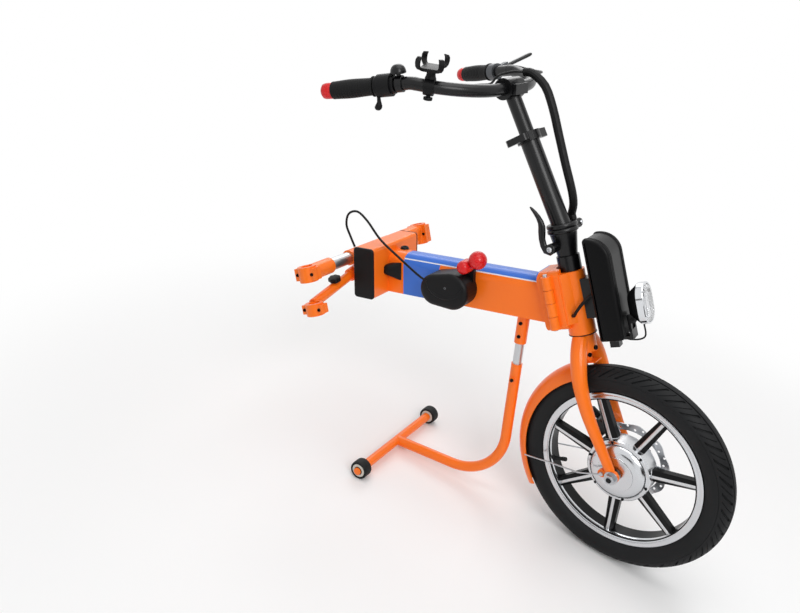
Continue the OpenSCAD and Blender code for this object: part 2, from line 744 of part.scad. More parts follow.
// Bar tube of any radius: middle, bends, droops and ends
module bar_tube(r, over) {
    along_y(r, -bar_mid, bar_mid);
    for (s = [-1, 1]) mirror([0, s < 0 ? 1 : 0, 0]) {
        rotate([0, bar_rise, 0]) translate([-bar_bend, bar_mid, 0])
            rotate_extrude(angle = bar_sweep, $fn = 96) translate([bar_bend, 0]) circle(r);
        bend_end(1) translate([0, 0, -droop_r]) rotate([90, 0, 0]) rotate([0, 0, 90 - bar_droop])
            rotate_extrude(angle = bar_droop, $fn = 96) translate([droop_r, 0]) circle(r);
        tail_place(1) along_x(r, 0, bar_tail + over);
    }
}
// Weld beads where the bar's pieces meet
weld_t = 0.2;
module bar_welds(r) {
    for (s = [-1, 1]) {
        translate([0, s * bar_mid, 0]) along_y(r + weld_t, -2, 2);
        bend_end(s) along_x(r + weld_t, -2, 2);
        tail_place(s) along_x(r + weld_t, -2, 2);
    }
}
bar_bore = bar_r - 2.2;
module handlebar() color(black) on_bar() difference() {
    union() {
        bar_tube(bar_r, 0);
        bar_welds(bar_r);
    }
    bar_tube(bar_bore, 1);
    bar_welds(bar_bore);
}

module grips() color(black) for (s = [-1, 1]) on_tail(s) difference() {
    union() {
        along_x(grip_r, bar_tail - grip_len, bar_tail);
        along_x(grip_r + 1.5, bar_tail - grip_len, bar_tail - grip_len + 5);
        along_x(grip_r + 1, bar_tail - 5, bar_tail);
    }
    along_x(bar_r + seat_fit, bar_tail - grip_len - 1, bar_tail + 1);
}

plug_rim = 3;
plug_dome = 7;
module bar_plugs() color(red) for (s = [-1, 1]) on_tail(s) {
    along_x(bar_bore - seat_fit, bar_tail - 16, bar_tail);
    translate([bar_tail, 0, 0]) rotate([0, 90, 0]) rotate_extrude()
        polygon(concat([[0, 0], [plug_r, 0]],
            [for (a = [0 : 15 : 75]) [plug_r * cos(a), plug_rim + plug_dome * sin(a)]],
            [[0, plug_rim + plug_dome]]));
}

throttle_w = 38;
throttle_ring = 31;
throttle_r = 19.5;
paddle_drop = 34;
throttle_x = bar_tail - grip_len - throttle_w;
module throttle_body() color(black) on_tail(-1) difference() {
    union() {
        along_x(throttle_r, throttle_x + 6, throttle_x + throttle_ring);
        along_x(15.5, throttle_x, throttle_x + 6);
    }
    along_x(bar_r + seat_fit, throttle_x - 1, throttle_x + throttle_w);
}
paddle_w = throttle_w - throttle_ring - 0.5;
module throttle_paddle() color(black) on_tail(-1) translate([throttle_x + throttle_ring, 0, 0]) difference() {
    union() {
        along_x(17, seam_gap, paddle_w);
        translate([seam_gap, -5, -paddle_drop]) cube([paddle_w - seam_gap, 10, 22]);
        translate([-2, 0, -paddle_drop]) along_x(7, 0, 17);
    }
    along_x(bar_r + run_fit, -1, throttle_w);
    along_x(throttle_r + seam_gap, -10, seam_gap);
}

module bell() color(black) on_tail(-1) {
    difference() {
        along_x(bar_r + 3, throttle_x - 15, throttle_x - 3);
        along_x(bar_r + seat_fit, throttle_x - 16, throttle_x - 2);
    }
    translate([throttle_x - 9, 0, bar_r + 2]) {
        cylinder(r = 4, h = 11);
        translate([0, 0, 5]) difference() {
            sphere(14);
            translate([-20, -20, -20]) cube([40, 40, 20]);
            translate([0, 0, -1]) cylinder(r = 11, h = 5);
        }
    }
}

holder_turn = 58;
module phone_holder() color(black) on_bar() rotate([0, bar_rise, 0])
    translate([-bar_bend, -bar_mid, 0]) rotate([0, 0, -holder_turn]) translate([bar_bend, 0, 0]) {
        difference() {
            along_y(bar_r + 4, -9, 9);
            along_y(bar_r + 1.2, -10, 10);
        }
        translate([0, 0, bar_r + 3]) cylinder(r = 8, h = 14);
        translate([0, 0, bar_r + 16]) linear_extrude(6) rounded(58, 34, 8);
        for (x = [-1, 1], y = [-1, 1]) translate([x * 30, y * 17, bar_r + 16])
            rotate([0, 0, 45 * x * y]) translate([-6, -4, 0]) cube([12, 8, 22]);
        translate([0, 0, -bar_r - 12]) cylinder(r = 4, h = 9);
    }

lever_x = bar_tail - grip_len - 22;
lever_pin = [lever_x + 6, -24, 0];
// Upward tilt of the brake lever about its bar end
lever_tilt = -22;
module on_lever() {
    on_tail(1) rotate([lever_tilt, 0, 0]) children();
}
module lever_bracket() color(steel) on_lever() difference() {
    union() {
        along_x(bar_r + 5, lever_x, lever_x + 18);
        translate([lever_x, -32, -8]) cube([14, 26, 16]);
    }
    along_x(bar_r + seat_fit, lever_x - 1, lever_x + 19);
    translate([lever_x - 6, -34, -4 - seam_gap]) cube([26, 18, 8 + 2 * seam_gap]);
    translate(lever_pin) translate([0, 0, -10]) cylinder(r = 3 + run_fit, h = 20);
}
module brake_lever() color(black) on_lever() translate(lever_pin) {
    translate([0, 0, -8]) cylinder(r = 3, h = 16);
    translate([0, 0, -4]) linear_extrude(8) union() {
        circle(7);
        polygon([[-7, 0], [7, 0], [6, -18], [2, -50], [-2, -66], [-8, -72], [-13, -69], [-12, -50], [-7, -20]]);
    }
}

cable_r = 2.2;
cable_in = 18;
module bar_cables() color(black) on_bar() {
    cable([tail_point(-1, [throttle_x + 5.5, -cable_in, 0]), tail_point(-1, [throttle_x - 6, -cable_in, 0]),
        tail_point(-1, [0, -cable_in, 0]), bend_point(-1, bar_sweep - 6, cable_in, 1),
        bend_point(-1, bar_sweep * 0.7, cable_in, 3), bend_point(-1, bar_sweep * 0.45, cable_in, 4),
        bend_point(-1, bar_sweep * 0.2, cable_in, 6), [-17, -36, 10], [-9, -26, 23], [5, -9, 28.5],
        [12, 3, 28.6], [18.2, 9.6, 28]], cable_r, 8, [0, 0, 1], 3);
    cable([tail_point(1, [lever_x - 0.5, -14.5 * cos(lever_tilt), 14.5 * sin(-lever_tilt)]),
        tail_point(1, [lever_x - 14, -14.6, 6]),
        tail_point(1, [0, -17, 8]), bend_point(1, bar_sweep * 0.8, -17, 10),
        bend_point(1, bar_sweep * 0.5, -18, 18), bend_point(1, bar_sweep * 0.2, -16, 25), [14, 44, 30],
        [8, 28, 29], [12, 20, 28], [19, 18, 27]], cable_r, 8, [0, 0, 1], 3);
}

loom_r = 7.5;
loom_foot = (plate_t + seam_gap + 0.5 - 10 * sin(post_kick)) / cos(post_kick);
module cable_loom() color(black) on_post()
    cable([[30, 14, bar_h + 15], [44, 14, bar_h + 6], [58, 14, bar_h - 24], [57, 14, bar_h - 64],
        [50, 14, bar_h - 110], [42, 14, bar_h - 162], [34, 17, 56], [24, 23, 32],
        [11.8, 27, 17], [10.9, 27, (17 + loom_foot) / 2], [10, 27, loom_foot]], loom_r, 12, [0, 1, 0], 3);

// Front frame

function band(i) = flange_low + 6 + i * knuckle_h;
module knuckles(first, r, grow) {
    for (i = [first : 2 : knuckle_n - 1]) translate([-seam_back, pin_y, band(i) - grow])
        cylinder(r = r, h = knuckle_h + 2 * grow);
}
module knuckle_webs(first, side) {
    for (i = [first : 2 : knuckle_n - 1])
        translate([-seam_back + (side < 0 ? -knuckle_r : seam_gap / 2), pin_y, band(i) + seam_gap])
            cube([knuckle_r - seam_gap / 2, 12, knuckle_h - 2 * seam_gap]);
}
module hinge_bore(r) {
    translate([-seam_back, pin_y, flange_low]) cylinder(r = r, h = flange_h);
}
module flange(x0, x1) {
    translate([0, 0, flange_low + flange_h / 2]) plate_x(x0, x1) rounded(flange_w, flange_h, 14);
}

// Walls that run from the flange to the head tube's sides
web_x = -seam_back + flange_t + 4;
web_front = 6;
web_half = flange_w / 2 - 2;
latch_in = 10;
module head_tube() color(orange) on_head() difference() {
    union() {
        translate([0, 0, head_low]) cylinder(r = head_r, h = head_len);
        difference() {
            flange(-seam_back + seam_gap / 2, -seam_back + flange_t);
            knuckles(0, knuckle_r + seam_gap, seam_gap / 2);
        }
        knuckle_webs(1, 1);
        knuckles(1, knuckle_r, -seam_gap);
        translate([0, 0, flange_low + 10]) linear_extrude(head_high - flange_low - 10)
            polygon([[web_x - 6, -web_half], [web_x, -web_half], [web_front, 1 - head_r],
                [web_front, head_r - 1], [web_x, web_half], [web_x - 6, web_half]]);
        translate([-seam_back + latch_in, 0, flange_low + 60]) along_y(9, flange_w / 2 - 4, latch_y);
    }
    translate([0, 0, head_low - 1]) cylinder(r = steerer_r + 2, h = head_len + 2);
    translate([0, 0, head_high]) cylinder(r = head_r, h = flange_h);
    translate([0, 0, head_low - 1]) cylinder(r = headset_r + seat_fit, h = headset_h + 1);
    translate([0, 0, head_high - headset_h]) cylinder(r = headset_r + seat_fit, h = headset_h + 1);
    hinge_bore(hinge_pin_r + run_fit);
    translate([-seam_back + latch_in, 0, flange_low + 60]) along_y(4 + run_fit, flange_w / 2 - 6, 60);
}

module frame_hinge_pin() color(steel) on_head()
    translate([-seam_back, pin_y, flange_low + 4]) cylinder(r = hinge_pin_r, h = flange_h - 6);

latch_y = flange_w / 2 + 3;
module frame_latch() color(black) on_head() translate([-seam_back + latch_in, 0, flange_low + 60]) {
    along_y(4, flange_w / 2 - 4, latch_y + 10);
    plate_y(latch_y + seam_gap, latch_y + 10) union() {
        circle(12);
        polygon([[0, -12], [0, 12], [-76, 9], [-84, 2], [-84, -6], [-76, -9]]);
    }
}

battery_front_x = battery_x + battery_d;
battery_mid = battery_x + battery_d / 2;
battery_high = battery_low + battery_h;
// Side outline of the battery, drawn in by a distance
module battery_side(in) {
    r = battery_round - in;
    difference() {
        translate([battery_x + in, battery_low + in])
            square([battery_d - 2 * in, battery_h - 2 * in]);
        difference() {
            translate([battery_front_x - battery_round, battery_high - battery_round])
                square([battery_round + 1, battery_round + 1]);
            translate([battery_front_x - battery_round, battery_high - battery_round]) circle(r);
        }
    }
}
module battery_shell() {
    difference() {
        plate_y(-battery_w / 2, battery_w / 2) battery_side(0);
        plate_y(-battery_w / 2 + battery_wall, battery_w / 2 - battery_wall)
            battery_side(battery_wall);
    }
}
module battery_half(x0, x1) {
    translate([x0, -battery_w, battery_low - 5]) cube([x1 - x0, 2 * battery_w, battery_h + 10]);
}
module battery_case() color(black) on_head() intersection() {
    battery_shell();
    battery_half(battery_x - 5, battery_mid);
}
module battery_front() color(black) on_head() intersection() {
    battery_shell();
    battery_half(battery_mid, battery_front_x + 5);
}

cell_pitch = 2 * cell_r + 0.6;
module battery_cells() color("#3b7dd8") on_head() {
    z0 = battery_low + battery_wall + cell_r + 0.4;
    for (row = [0 : cell_rows - 1], col = [-1, 1])
        translate([battery_mid + col * cell_pitch / 2, 0, z0 + row * cell_pitch])
            along_y(cell_r, -32.5, 32.5);
    for (s = [-1, 1]) translate([0, s * 31, 0]) plate_y(-1, 1)
        translate([battery_mid - cell_pitch / 2, z0 - 2])
            square([cell_pitch, (cell_rows - 1) * cell_pitch + 4]);
}

lamp_pivot = [battery_front_x + 12, 0, battery_low + 32];
ear_r = 8;
shelf_z = battery_low - 6;
shelf_w = 20;
post_x = head_r + 9;
module battery_bracket() color(black) on_head() difference() {
    union() {
        translate([head_r - 6, -16, head_low + 30]) cube([battery_x - head_r + 6 - 0.3, 32, 74]);
        translate([post_x, -shelf_w / 2, shelf_z]) cube([lamp_pivot[0] - 4 - post_x, shelf_w, 5.7]);
        translate([post_x, -shelf_w / 2, shelf_z]) cube([6, shelf_w, head_low - shelf_z + 40]);
        translate([battery_front_x + 3, -14, shelf_z])
            cube([5, 28, lamp_pivot[2] - shelf_z + ear_r]);
        translate(lamp_pivot) translate([-9, -14, -ear_r]) cube([9, 28, 2 * ear_r]);
        translate(lamp_pivot) along_y(ear_r, -14, 14);
        translate([battery_x + 6, -9, shelf_z - 14]) cube([17, 18, 14]);
    }
    translate([0, 0, head_low - 1]) cylinder(r = head_r + 0.1, h = head_len + 2);
    translate(lamp_pivot) along_y(4 + run_fit, -20, 20);
    translate(lamp_pivot) translate([-30, -9, -20]) cube([60, 18, 40]);
}

lead_r = 3;
lead_z = flange_low + 26;
wall_x = (web_x + web_front) / 2;
wall_y = -(web_half + head_r - 1) / 2;
wall_out = unit([web_half - head_r + 1, web_x - web_front, 0]);
module head_leads() color(black) on_head() {
    cable([[wall_x, wall_y, lead_z] + 0.4 * wall_out, [wall_x, wall_y, lead_z] + 5 * wall_out,
        [13, wall_y - 8, lead_z + 10], [25, wall_y - 5, lead_z + 22], [battery_x - 6, wall_y + 1, lead_z + 32],
        [battery_x - 0.5, wall_y + 1, lead_z + 32]], lead_r, 8, [0, 0, 1]);
    cable([[lamp_pivot[0] + 9, 15, lamp_pivot[2] - 14], [lamp_pivot[0] + 8, 18, shelf_z - 2],
        [lamp_pivot[0] - 4, 19, shelf_z - 10], [battery_front_x - 14, 19, shelf_z - 8],
        [battery_front_x - 22, 19, battery_low - 4], [battery_front_x - 22, 19, battery_low - 0.5]], 1.6, 8);
}

lamp_back = battery_front_x + 10;
lamp_mid = lamp_pivot[2] + 24;
lamp_front = lamp_back + lamp_d;
module lamp_slab(x0, x1, w, h, r) {
    translate([0, 0, lamp_mid]) plate_x(x0, x1) rounded(w, h, r);
}
module lamp_housing() color(black) on_head() {
    difference() {
        union() {
            hull() {
                lamp_slab(lamp_back, lamp_back + 3, lamp_w - 22, lamp_h - 28, 14);
                lamp_slab(lamp_front - 13, lamp_front - 11, lamp_w, lamp_h, 24);
            }
            lamp_slab(lamp_front - 12, lamp_front, lamp_w, lamp_h, 24);
            translate(lamp_pivot) along_y(ear_r, -8.5, 8.5);
        }
        lamp_slab(lamp_front - 10, lamp_front + 1, lamp_w - 6, lamp_h - 6, 21);
        for (s = [-1, 1]) mirror([0, s < 0 ? 1 : 0, 0])
            translate(lamp_pivot) along_y(ear_r + 5, 8.5, 15);
    }
    translate(lamp_pivot) along_y(4, -14, 14);
}
module lamp_lens() color("#dfe6ea") on_head()
    lamp_slab(lamp_front - 10, lamp_front - 1, lamp_w - 6.2, lamp_h - 6.2, 20.9);

// Main frame

module beam_section(in) {
    w = beam_w - 2 * in;
    r = beam_round - in;
    low = beam_low_front - 40;
    translate([-w / 2, low]) square([w, beam_top - in - r - low]);
    translate([-w / 2 + r, low]) square([w - 2 * r, beam_top - in - low]);
    for (s = [-1, 1]) translate([s * (w / 2 - r), beam_top - in - r]) circle(r);
}
// Beam drawn in by a distance, and run on past both ends by another
module beam_solid(in, over) {
    intersection() {
        plate_y(-beam_w, beam_w) polygon([[-dock_x - over, beam_low_rear + in],
            [beam_nose, beam_low_front + in], [beam_nose, beam_top + 10], [-dock_x - over, beam_top + 10]]);
        plate_x(-dock_x - over, beam_nose) beam_section(in);
    }
}
module ahead_of_flange(grow) {
    on_head() translate([-seam_back - flange_t - grow, -100, 100]) cube([400, 200, 500]);
}
module main_beam() color(orange) difference() {
    union() {
        difference() {
            parked() beam_solid(0, 0);
            parked() beam_solid(beam_wall, 1);
            ahead_of_flange(-2);
        }
        on_head() difference() {
            flange(-seam_back - flange_t, -seam_back - seam_gap / 2);
            knuckles(1, knuckle_r + seam_gap, seam_gap / 2);
        }
        on_head() knuckle_webs(0, -1);
        on_head() knuckles(0, knuckle_r, -seam_gap);
        on_stand() translate([0, 0, -socket_len]) cylinder(r = leg_r + 1, h = socket_len + 4);
    }
    on_head() hinge_bore(hinge_pin_r + seat_fit);
    on_stand() translate([0, 0, -socket_len - 1]) cylinder(r = inner_r + seat_fit, h = socket_len + 20);
}

controller_rear = -dock_x + 111;
controller_front = stand_x - 46;
controller_high = beam_top - 28;
module motor_controller() color(steel) parked() plate_y(-22, 22)
    polygon([[controller_rear, beam_under(controller_rear) + beam_wall + 0.3],
        [controller_front, beam_under(controller_front) + beam_wall + 0.3],
        [controller_front, controller_high], [controller_rear, controller_high]]);

web_y = 58;
holder_r = cross_r + 3.5;
module dock_box() color(orange) {
    parked() difference() {
        union() {
            translate([-dock_x - dock_d / 2, 0, dock_low + dock_h / 2])
                plate_y(-dock_half, dock_half) rounded(dock_d, dock_h, 7);
            translate([cross_x, 0, cross_z]) along_y(holder_r, -dock_half + 8, dock_half - 8);
            translate([cross_x, -web_y, cross_z - holder_r])
                cube([-dock_x - dock_d - cross_x + 4, 2 * web_y, 2 * holder_r]);
            brace_place() along_x(brace_r + 3.5, 24, 72);
            translate([cross_x, -64, brace_z - 26]) cube([-dock_x - dock_d - cross_x + 4, 30, 28]);
        }
        translate([-dock_x - dock_d / 2, 0, dock_low + dock_h / 2])
            plate_y(-dock_half - 1, dock_half + 1) rounded(dock_d - 6, dock_h - 6, 4);
        translate([cross_x, 0, cross_z]) along_y(cross_r + seat_fit, -dock_half, dock_half);
        brace_place() along_x(brace_r + run_fit, 20, 80);
    }
}

module dock_trim() color(black) parked() {
    for (s = [-1, 1]) mirror([0, s < 0 ? 1 : 0, 0]) {
        translate([-dock_x - dock_d / 2, 0, dock_low + dock_h / 2]) {
            plate_y(dock_half, dock_half + cap_t) rounded(dock_d, dock_h, 7);
            plate_y(dock_half - 8, dock_half) rounded(dock_d - 6.2, dock_h - 6.2, 4);
        }
        hull() {
            translate([-dock_x + 28, beam_w / 2, beam_top - 55]) cube([4, 0.6, 38]);
            translate([-dock_x, beam_w / 2, beam_top - 51]) cube([1, 0.6, 30]);
            translate([-dock_x, beam_w / 2 + 16, beam_top - 45]) cube([1, 1, 18]);
        }
    }
    translate([-dock_x + 14, 12, beam_top]) cylinder(r = 8, h = 5);
}

// Egg-shaped lock case on the beam's right side, drawn in by a distance
cover_x = -357;
cover_z = beam_top - 44;
module egg(in, y0, y1) {
    hull() {
        translate([cover_x - 20, 0, cover_z - 2]) along_y(31 - in, y0, y1, $fn = 32);
        translate([cover_x + 16, 0, cover_z]) along_y(36 - in, y0, y1, $fn = 32);
        translate([cover_x - 16, 0, cover_z - 2]) along_y(26 - in, y0 - 6, y1, $fn = 32);
        translate([cover_x + 12, 0, cover_z]) along_y(30 - in, y0 - 6, y1, $fn = 32);
    }
}
lever_x0 = cover_x + 37;
lever_z = beam_top + 6;
cover_y = -beam_w / 2 - cover_d;
module lock_cover() color(black) parked() {
    difference() {
        egg(0, cover_y + 6, -beam_w / 2);
        egg(3, cover_y + 9, -beam_w / 2 - 3);
    }
    translate([lever_x0, 0, lever_z]) along_y(5, cover_y + 4, -beam_w / 2 - 2);
    plate_y(-beam_w / 2 - 10, -beam_w / 2) union() {
        translate([lever_x0, lever_z]) circle(11);
        translate([lever_x0 - 11, lever_z - 40]) square([22, 40]);
    }
}

lever_y0 = -beam_w / 2 - 10 - seam_gap;
ball_turn = 58;
module release_lever() color(red) parked() translate([lever_x0, 0, lever_z]) difference() {
    union() {
        along_y(lever_hub_r, lever_y0 - 26, lever_y0);
        translate([0, lever_y0 - 12, 0]) rotate([0, ball_turn, 0]) cylinder(r = 4, h = 26);
        translate([0, lever_y0 - 12, 0]) rotate([0, ball_turn, 0]) translate([0, 0, 30]) sphere(ball_r);
    }
    along_y(5 + run_fit, lever_y0 - 30, lever_y0 + 1);
}

module release_cable() color(black) parked()
    cable([[cover_x - 51.5, -54, cover_z + 8], [cover_x - 71, -54, cover_z + 18],
        [cover_x - 113, -52, beam_top], [cross_x + 64, -50, beam_top + 30],
        [cross_x + 31, -48, beam_top + 64], [cross_x + 4, -45, beam_top + 80],
        [cross_x - 20, -43, beam_top + 72], [cross_x - 27, -42, beam_top + 48],
        [cross_x - 18, -41, beam_top + 24], [cross_x - 8, -40, cross_z + holder_r - 1.4]], 2.4, 8);

cross_reach = clamp_y - 26;
module cross_tube() color(steel) parked() translate([cross_x, 0, cross_z]) difference() {
    along_y(cross_r, -cross_reach, dock_half - 10);
    along_y(cross_r - 2.5, -cross_reach - 1, dock_half - 20);
}

// Both halves of a clamp on its tube, its length along the tube centred on z
clamp_wall = 7;
lug_x = clamp_bore_r + 13;
module clamp_halves(z, h) {
    translate([0, 0, z - h / 2]) difference() {
        union() {
            cylinder(r = clamp_bore_r + clamp_wall, h = h);
            translate([-lug_x, -10, 3]) cube([2 * lug_x, 20, h - 6]);
        }
        translate([0, 0, -1]) cylinder(r = clamp_bore_r, h = h + 2);
        for (x = [-1, 1]) translate([x > 0 ? lug_x - 6 : -lug_x - 1, -0.4, -1]) cube([7, 0.8, h + 2]);
        for (x = [-1, 1]) translate([x * (lug_x - 6), 0, h / 2]) along_y(3.4, -11, -7);
    }
}
module left_clamp_arm() color(orange) {
    on_clamp(1) clamp_halves(-8, clamp_h + 16);
    parked() translate([cross_x, dock_half - 8, cross_z - 8])
        plate_y(0, clamp_y - clamp_bore_r - 1 - dock_half + 8) rounded(28, 44, 10);
}
module right_sleeve() color(orange) {
    on_clamp(-1) clamp_halves(0, clamp_h);
    parked() translate([cross_x, 0, cross_z]) difference() {
        along_y(cross_r + 3.5, -clamp_y + clamp_bore_r + 1, -dock_half - 56);
        along_y(cross_r + run_fit, -cross_reach - 4, -dock_half);
    }
}

brace_out = clamp_y / cos(brace_slope);
module lower_brace() color(orange) difference() {
    union() {
        on_brace() along_x(brace_r, 28, brace_out - clamp_bore_r - 1);
        on_clamp(-1) clamp_halves(-70, clamp_h - 6);
        on_brace() translate([122, 0, 0]) cylinder(r = 6, h = brace_r + 9);
    }
    on_brace() along_x(brace_r - 2, 20, brace_out - 30);
    on_clamp(-1) translate([0, 0, -70 - clamp_h]) cylinder(r = clamp_bore_r, h = 2 * clamp_h);
}

// Stand

leg_top = -socket_len - inner_show;
button_z = leg_top - 33;
button_r = 3.5;
tee_half = track_half - roller_w / 2 - 0.6;
stub_half = track_half + roller_w / 2 + 4;
// Place of the inner tube's lower end, clear of the leg's bend
inner_low = 27 - stand_drop;
module stand_inner_tube() color(steel) on_stand() translate([0, 0, inner_low]) difference() {
    cylinder(r = inner_r, h = 2 - inner_low);
    translate([0, 0, -1]) cylinder(r = inner_r - 2, h = 4 - inner_low);
}
module stand_leg() color(orange) on_stand() {
    difference() {
        union() {
            translate([0, 0, -stand_drop]) cylinder(r = leg_r, h = stand_drop + leg_top);
            translate([0, 0, button_z]) along_y(6, -leg_r - 3, -leg_r + 2);
        }
        translate([0, 0, -stand_drop + 2]) cylinder(r = inner_r + run_fit, h = stand_drop);
        translate([0, 0, button_z]) along_y(button_r + run_fit, -leg_r - 4, -leg_r + 2.5);
    }
    translate([-stand_bend, 0, -stand_drop]) rotate([90, 0, 0]) rotate([0, 0, -90])
        rotate_extrude(angle = 90, $fn = 96) translate([stand_bend, 0]) circle(leg_r);
    translate([0, 0, tee_z]) along_x(leg_r, tee_x, -stand_bend);
    translate([tee_x, 0, tee_z]) along_y(leg_r - 1, -tee_half, tee_half);
    translate([tee_x, 0, tee_z]) along_y(roller_axle_r, -stub_half, stub_half);
    for (y = [-stub_half, stub_half - 3.4]) translate([tee_x, 0, tee_z]) along_y(8, y, y + 3.4);
}
module stand_button() color(steel) on_stand() translate([0, 0, button_z])
    along_y(button_r, -leg_r - 5.5, -leg_r - 0.6);

module roller(side) color(black) on_stand() translate([tee_x, side * track_half, tee_z])
    difference() {
        along_y(roller_r, -roller_w / 2, roller_w / 2);
        along_y(roller_axle_r + run_fit, -roller_w, roller_w);
    }
module roller_right() roller(-1);
module roller_left() roller(1);

tyre();
rim();
hub_cover_right();
hub_cover_left();
magnet_ring();
brake_disc();
wheel_bearings();
motor_axle();
motor_stator();
axle_nuts();
fork();
headset_bearings();
stem_base();
fender();
fender_stays();
brake_caliper();
caliper_arm();
brake_cable();
lower_post();
stem_latch();
post_collar();
post_lever();
stem_quill();
handlebar();
grips();
bar_plugs();
throttle_body();
throttle_paddle();
bell();
phone_holder();
lever_bracket();
brake_lever();
bar_cables();
cable_loom();
head_tube();
frame_hinge_pin();
frame_latch();
battery_bracket();
battery_case();
battery_front();
battery_cells();
head_leads();
lamp_housing();
lamp_lens();
main_beam();
motor_controller();
dock_box();
dock_trim();
lock_cover();
release_lever();
release_cable();
cross_tube();
left_clamp_arm();
right_sleeve();
lower_brace();
stand_inner_tube();
stand_leg();
stand_button();
roller_right();
roller_left();
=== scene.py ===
import bpy
import bmesh
import json
from math import atan2, cos, degrees, pi, radians, sin
from mathutils import Matrix, Vector


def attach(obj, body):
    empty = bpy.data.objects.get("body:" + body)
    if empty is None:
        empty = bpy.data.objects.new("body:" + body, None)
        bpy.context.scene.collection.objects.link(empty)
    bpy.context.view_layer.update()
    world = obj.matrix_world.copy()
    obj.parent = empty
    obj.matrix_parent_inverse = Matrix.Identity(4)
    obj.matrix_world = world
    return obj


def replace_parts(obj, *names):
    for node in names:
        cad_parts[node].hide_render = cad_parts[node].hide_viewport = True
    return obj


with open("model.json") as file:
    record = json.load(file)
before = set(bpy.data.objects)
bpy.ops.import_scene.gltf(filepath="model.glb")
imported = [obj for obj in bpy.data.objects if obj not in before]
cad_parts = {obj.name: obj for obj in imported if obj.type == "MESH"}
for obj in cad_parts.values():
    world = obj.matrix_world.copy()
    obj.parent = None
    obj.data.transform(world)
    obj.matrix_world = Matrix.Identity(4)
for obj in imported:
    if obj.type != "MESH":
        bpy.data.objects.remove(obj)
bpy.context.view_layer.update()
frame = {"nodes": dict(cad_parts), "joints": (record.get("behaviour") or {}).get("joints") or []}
nodes = frame["nodes"]

# Standpoint. The unit is seen from its right front with the lens a little under a metre up.
# It stands nose up on its wheel and the two stand rollers, and the camera is tipped by the same angle.
WHEEL_RADIUS = 206
HEAD_LEAN = 16


def spin(axis, turn):
    return Matrix.Rotation(radians(turn), 4, axis)


def mm(x, y, z):
    return Vector((x, y, z)) / 1000


def shift(x, y, z):
    return Matrix.Translation(mm(x, y, z))


steering_axis = next(j["axis"] for j in frame["joints"] if j["name"] == "steering_turn")
nose_up = degrees(atan2(steering_axis[0], -steering_axis[2])) - HEAD_LEAN
parked = shift(0, 0, WHEEL_RADIUS) @ spin("Y", -nose_up) @ shift(0, 0, -WHEEL_RADIUS)

lens_at = Vector((0.2990, -1.2514, 0.9656))
to_right = Vector((0.8425, 0.5387, 0.0)).normalized()
ahead = Vector((-0.507, 0.7926, -0.339)).normalized()
upward = to_right.cross(ahead)
camera = bpy.data.objects.new("camera", bpy.data.cameras.new("camera"))
bpy.context.scene.collection.objects.link(camera)
camera.data.sensor_width = 36
camera.data.lens = 33.198
camera.matrix_world = parked @ Matrix((
    (to_right.x, upward.x, -ahead.x, lens_at.x),
    (to_right.y, upward.y, -ahead.y, lens_at.y),
    (to_right.z, upward.z, -ahead.z, lens_at.z),
    (0, 0, 0, 1)))
bpy.context.scene.camera = camera
bpy.context.scene.view_settings.view_transform = "Standard"

# Studio. A white sweep under the unit, one large soft lamp high on the right, a weaker one on the left
# and one overhead, so that a white card on the floor comes out just under white.
def linear(code):
    parts = [int(code[i:i + 2], 16) / 255 for i in (1, 3, 5)]
    return tuple(p / 12.92 if p <= 0.04045 else ((p + 0.055) / 1.055) ** 2.4 for p in parts) + (1.0,)


def wire(owner, node, sources):
    for socket, source in sources.items():
        owner.node_tree.links.new(source, node.inputs[socket])


def add(owner, kind, settings, links):
    made = owner.node_tree.nodes.new(kind)
    for name, value in settings.items():
        if isinstance(name, int) or name in made.inputs:
            made.inputs[name].default_value = value
        else:
            setattr(made, name, value)
    wire(owner, made, links)
    return made


def finish(name, colour, metallic, roughness, ior=1.5, specular=0.5):
    made = bpy.data.materials.new(name)
    made.use_nodes = True
    shader = made.node_tree.nodes["Principled BSDF"]
    shader.inputs["Base Color"].default_value = linear(colour)
    shader.inputs["Metallic"].default_value = metallic
    shader.inputs["Roughness"].default_value = roughness
    shader.inputs["IOR"].default_value = ior
    shader.inputs["Specular IOR Level"].default_value = specular
    return made, shader


def lamp(name, at, aim, size, watts):
    made = bpy.data.objects.new(name, bpy.data.lights.new(name, "AREA"))
    bpy.context.scene.collection.objects.link(made)
    made.data.size = size
    made.data.energy = watts
    facing = (Vector(aim) - Vector(at)).to_track_quat("-Z", "Y")
    made.matrix_world = Matrix.Translation(at) @ facing.to_matrix().to_4x4()


lamp("softbox_right", (1.7, -1.9, 2.4), (-0.2, 0, 0.4), 1.5, 44)
lamp("softbox_left", (-1.6, 1.8, 2.2), (-0.2, 0, 0.4), 1.6, 20)
lamp("softbox_top", (-0.3, -0.2, 2.9), (-0.3, 0, 0.3), 2.0, 26)

world = bpy.data.worlds.new("white_studio")
bpy.context.scene.world = world
world.use_nodes = True
rays = add(world, "ShaderNodeLightPath", {}, {})
seen = add(world, "ShaderNodeMath", {"operation": "MAXIMUM"}, {
    0: rays.outputs["Is Camera Ray"], 1: rays.outputs["Is Glossy Ray"]})
seen = add(world, "ShaderNodeMath", {"operation": "MAXIMUM"}, {
    0: seen.outputs[0], 1: rays.outputs["Is Transmission Ray"]})
level = add(world, "ShaderNodeMapRange", {"To Min": 0.42, "To Max": 1.0}, {"Value": seen.outputs[0]})
backdrop = world.node_tree.nodes["Background"]
backdrop.inputs["Color"].default_value = (1, 1, 1, 1)
wire(world, backdrop, {"Strength": level.outputs[0]})

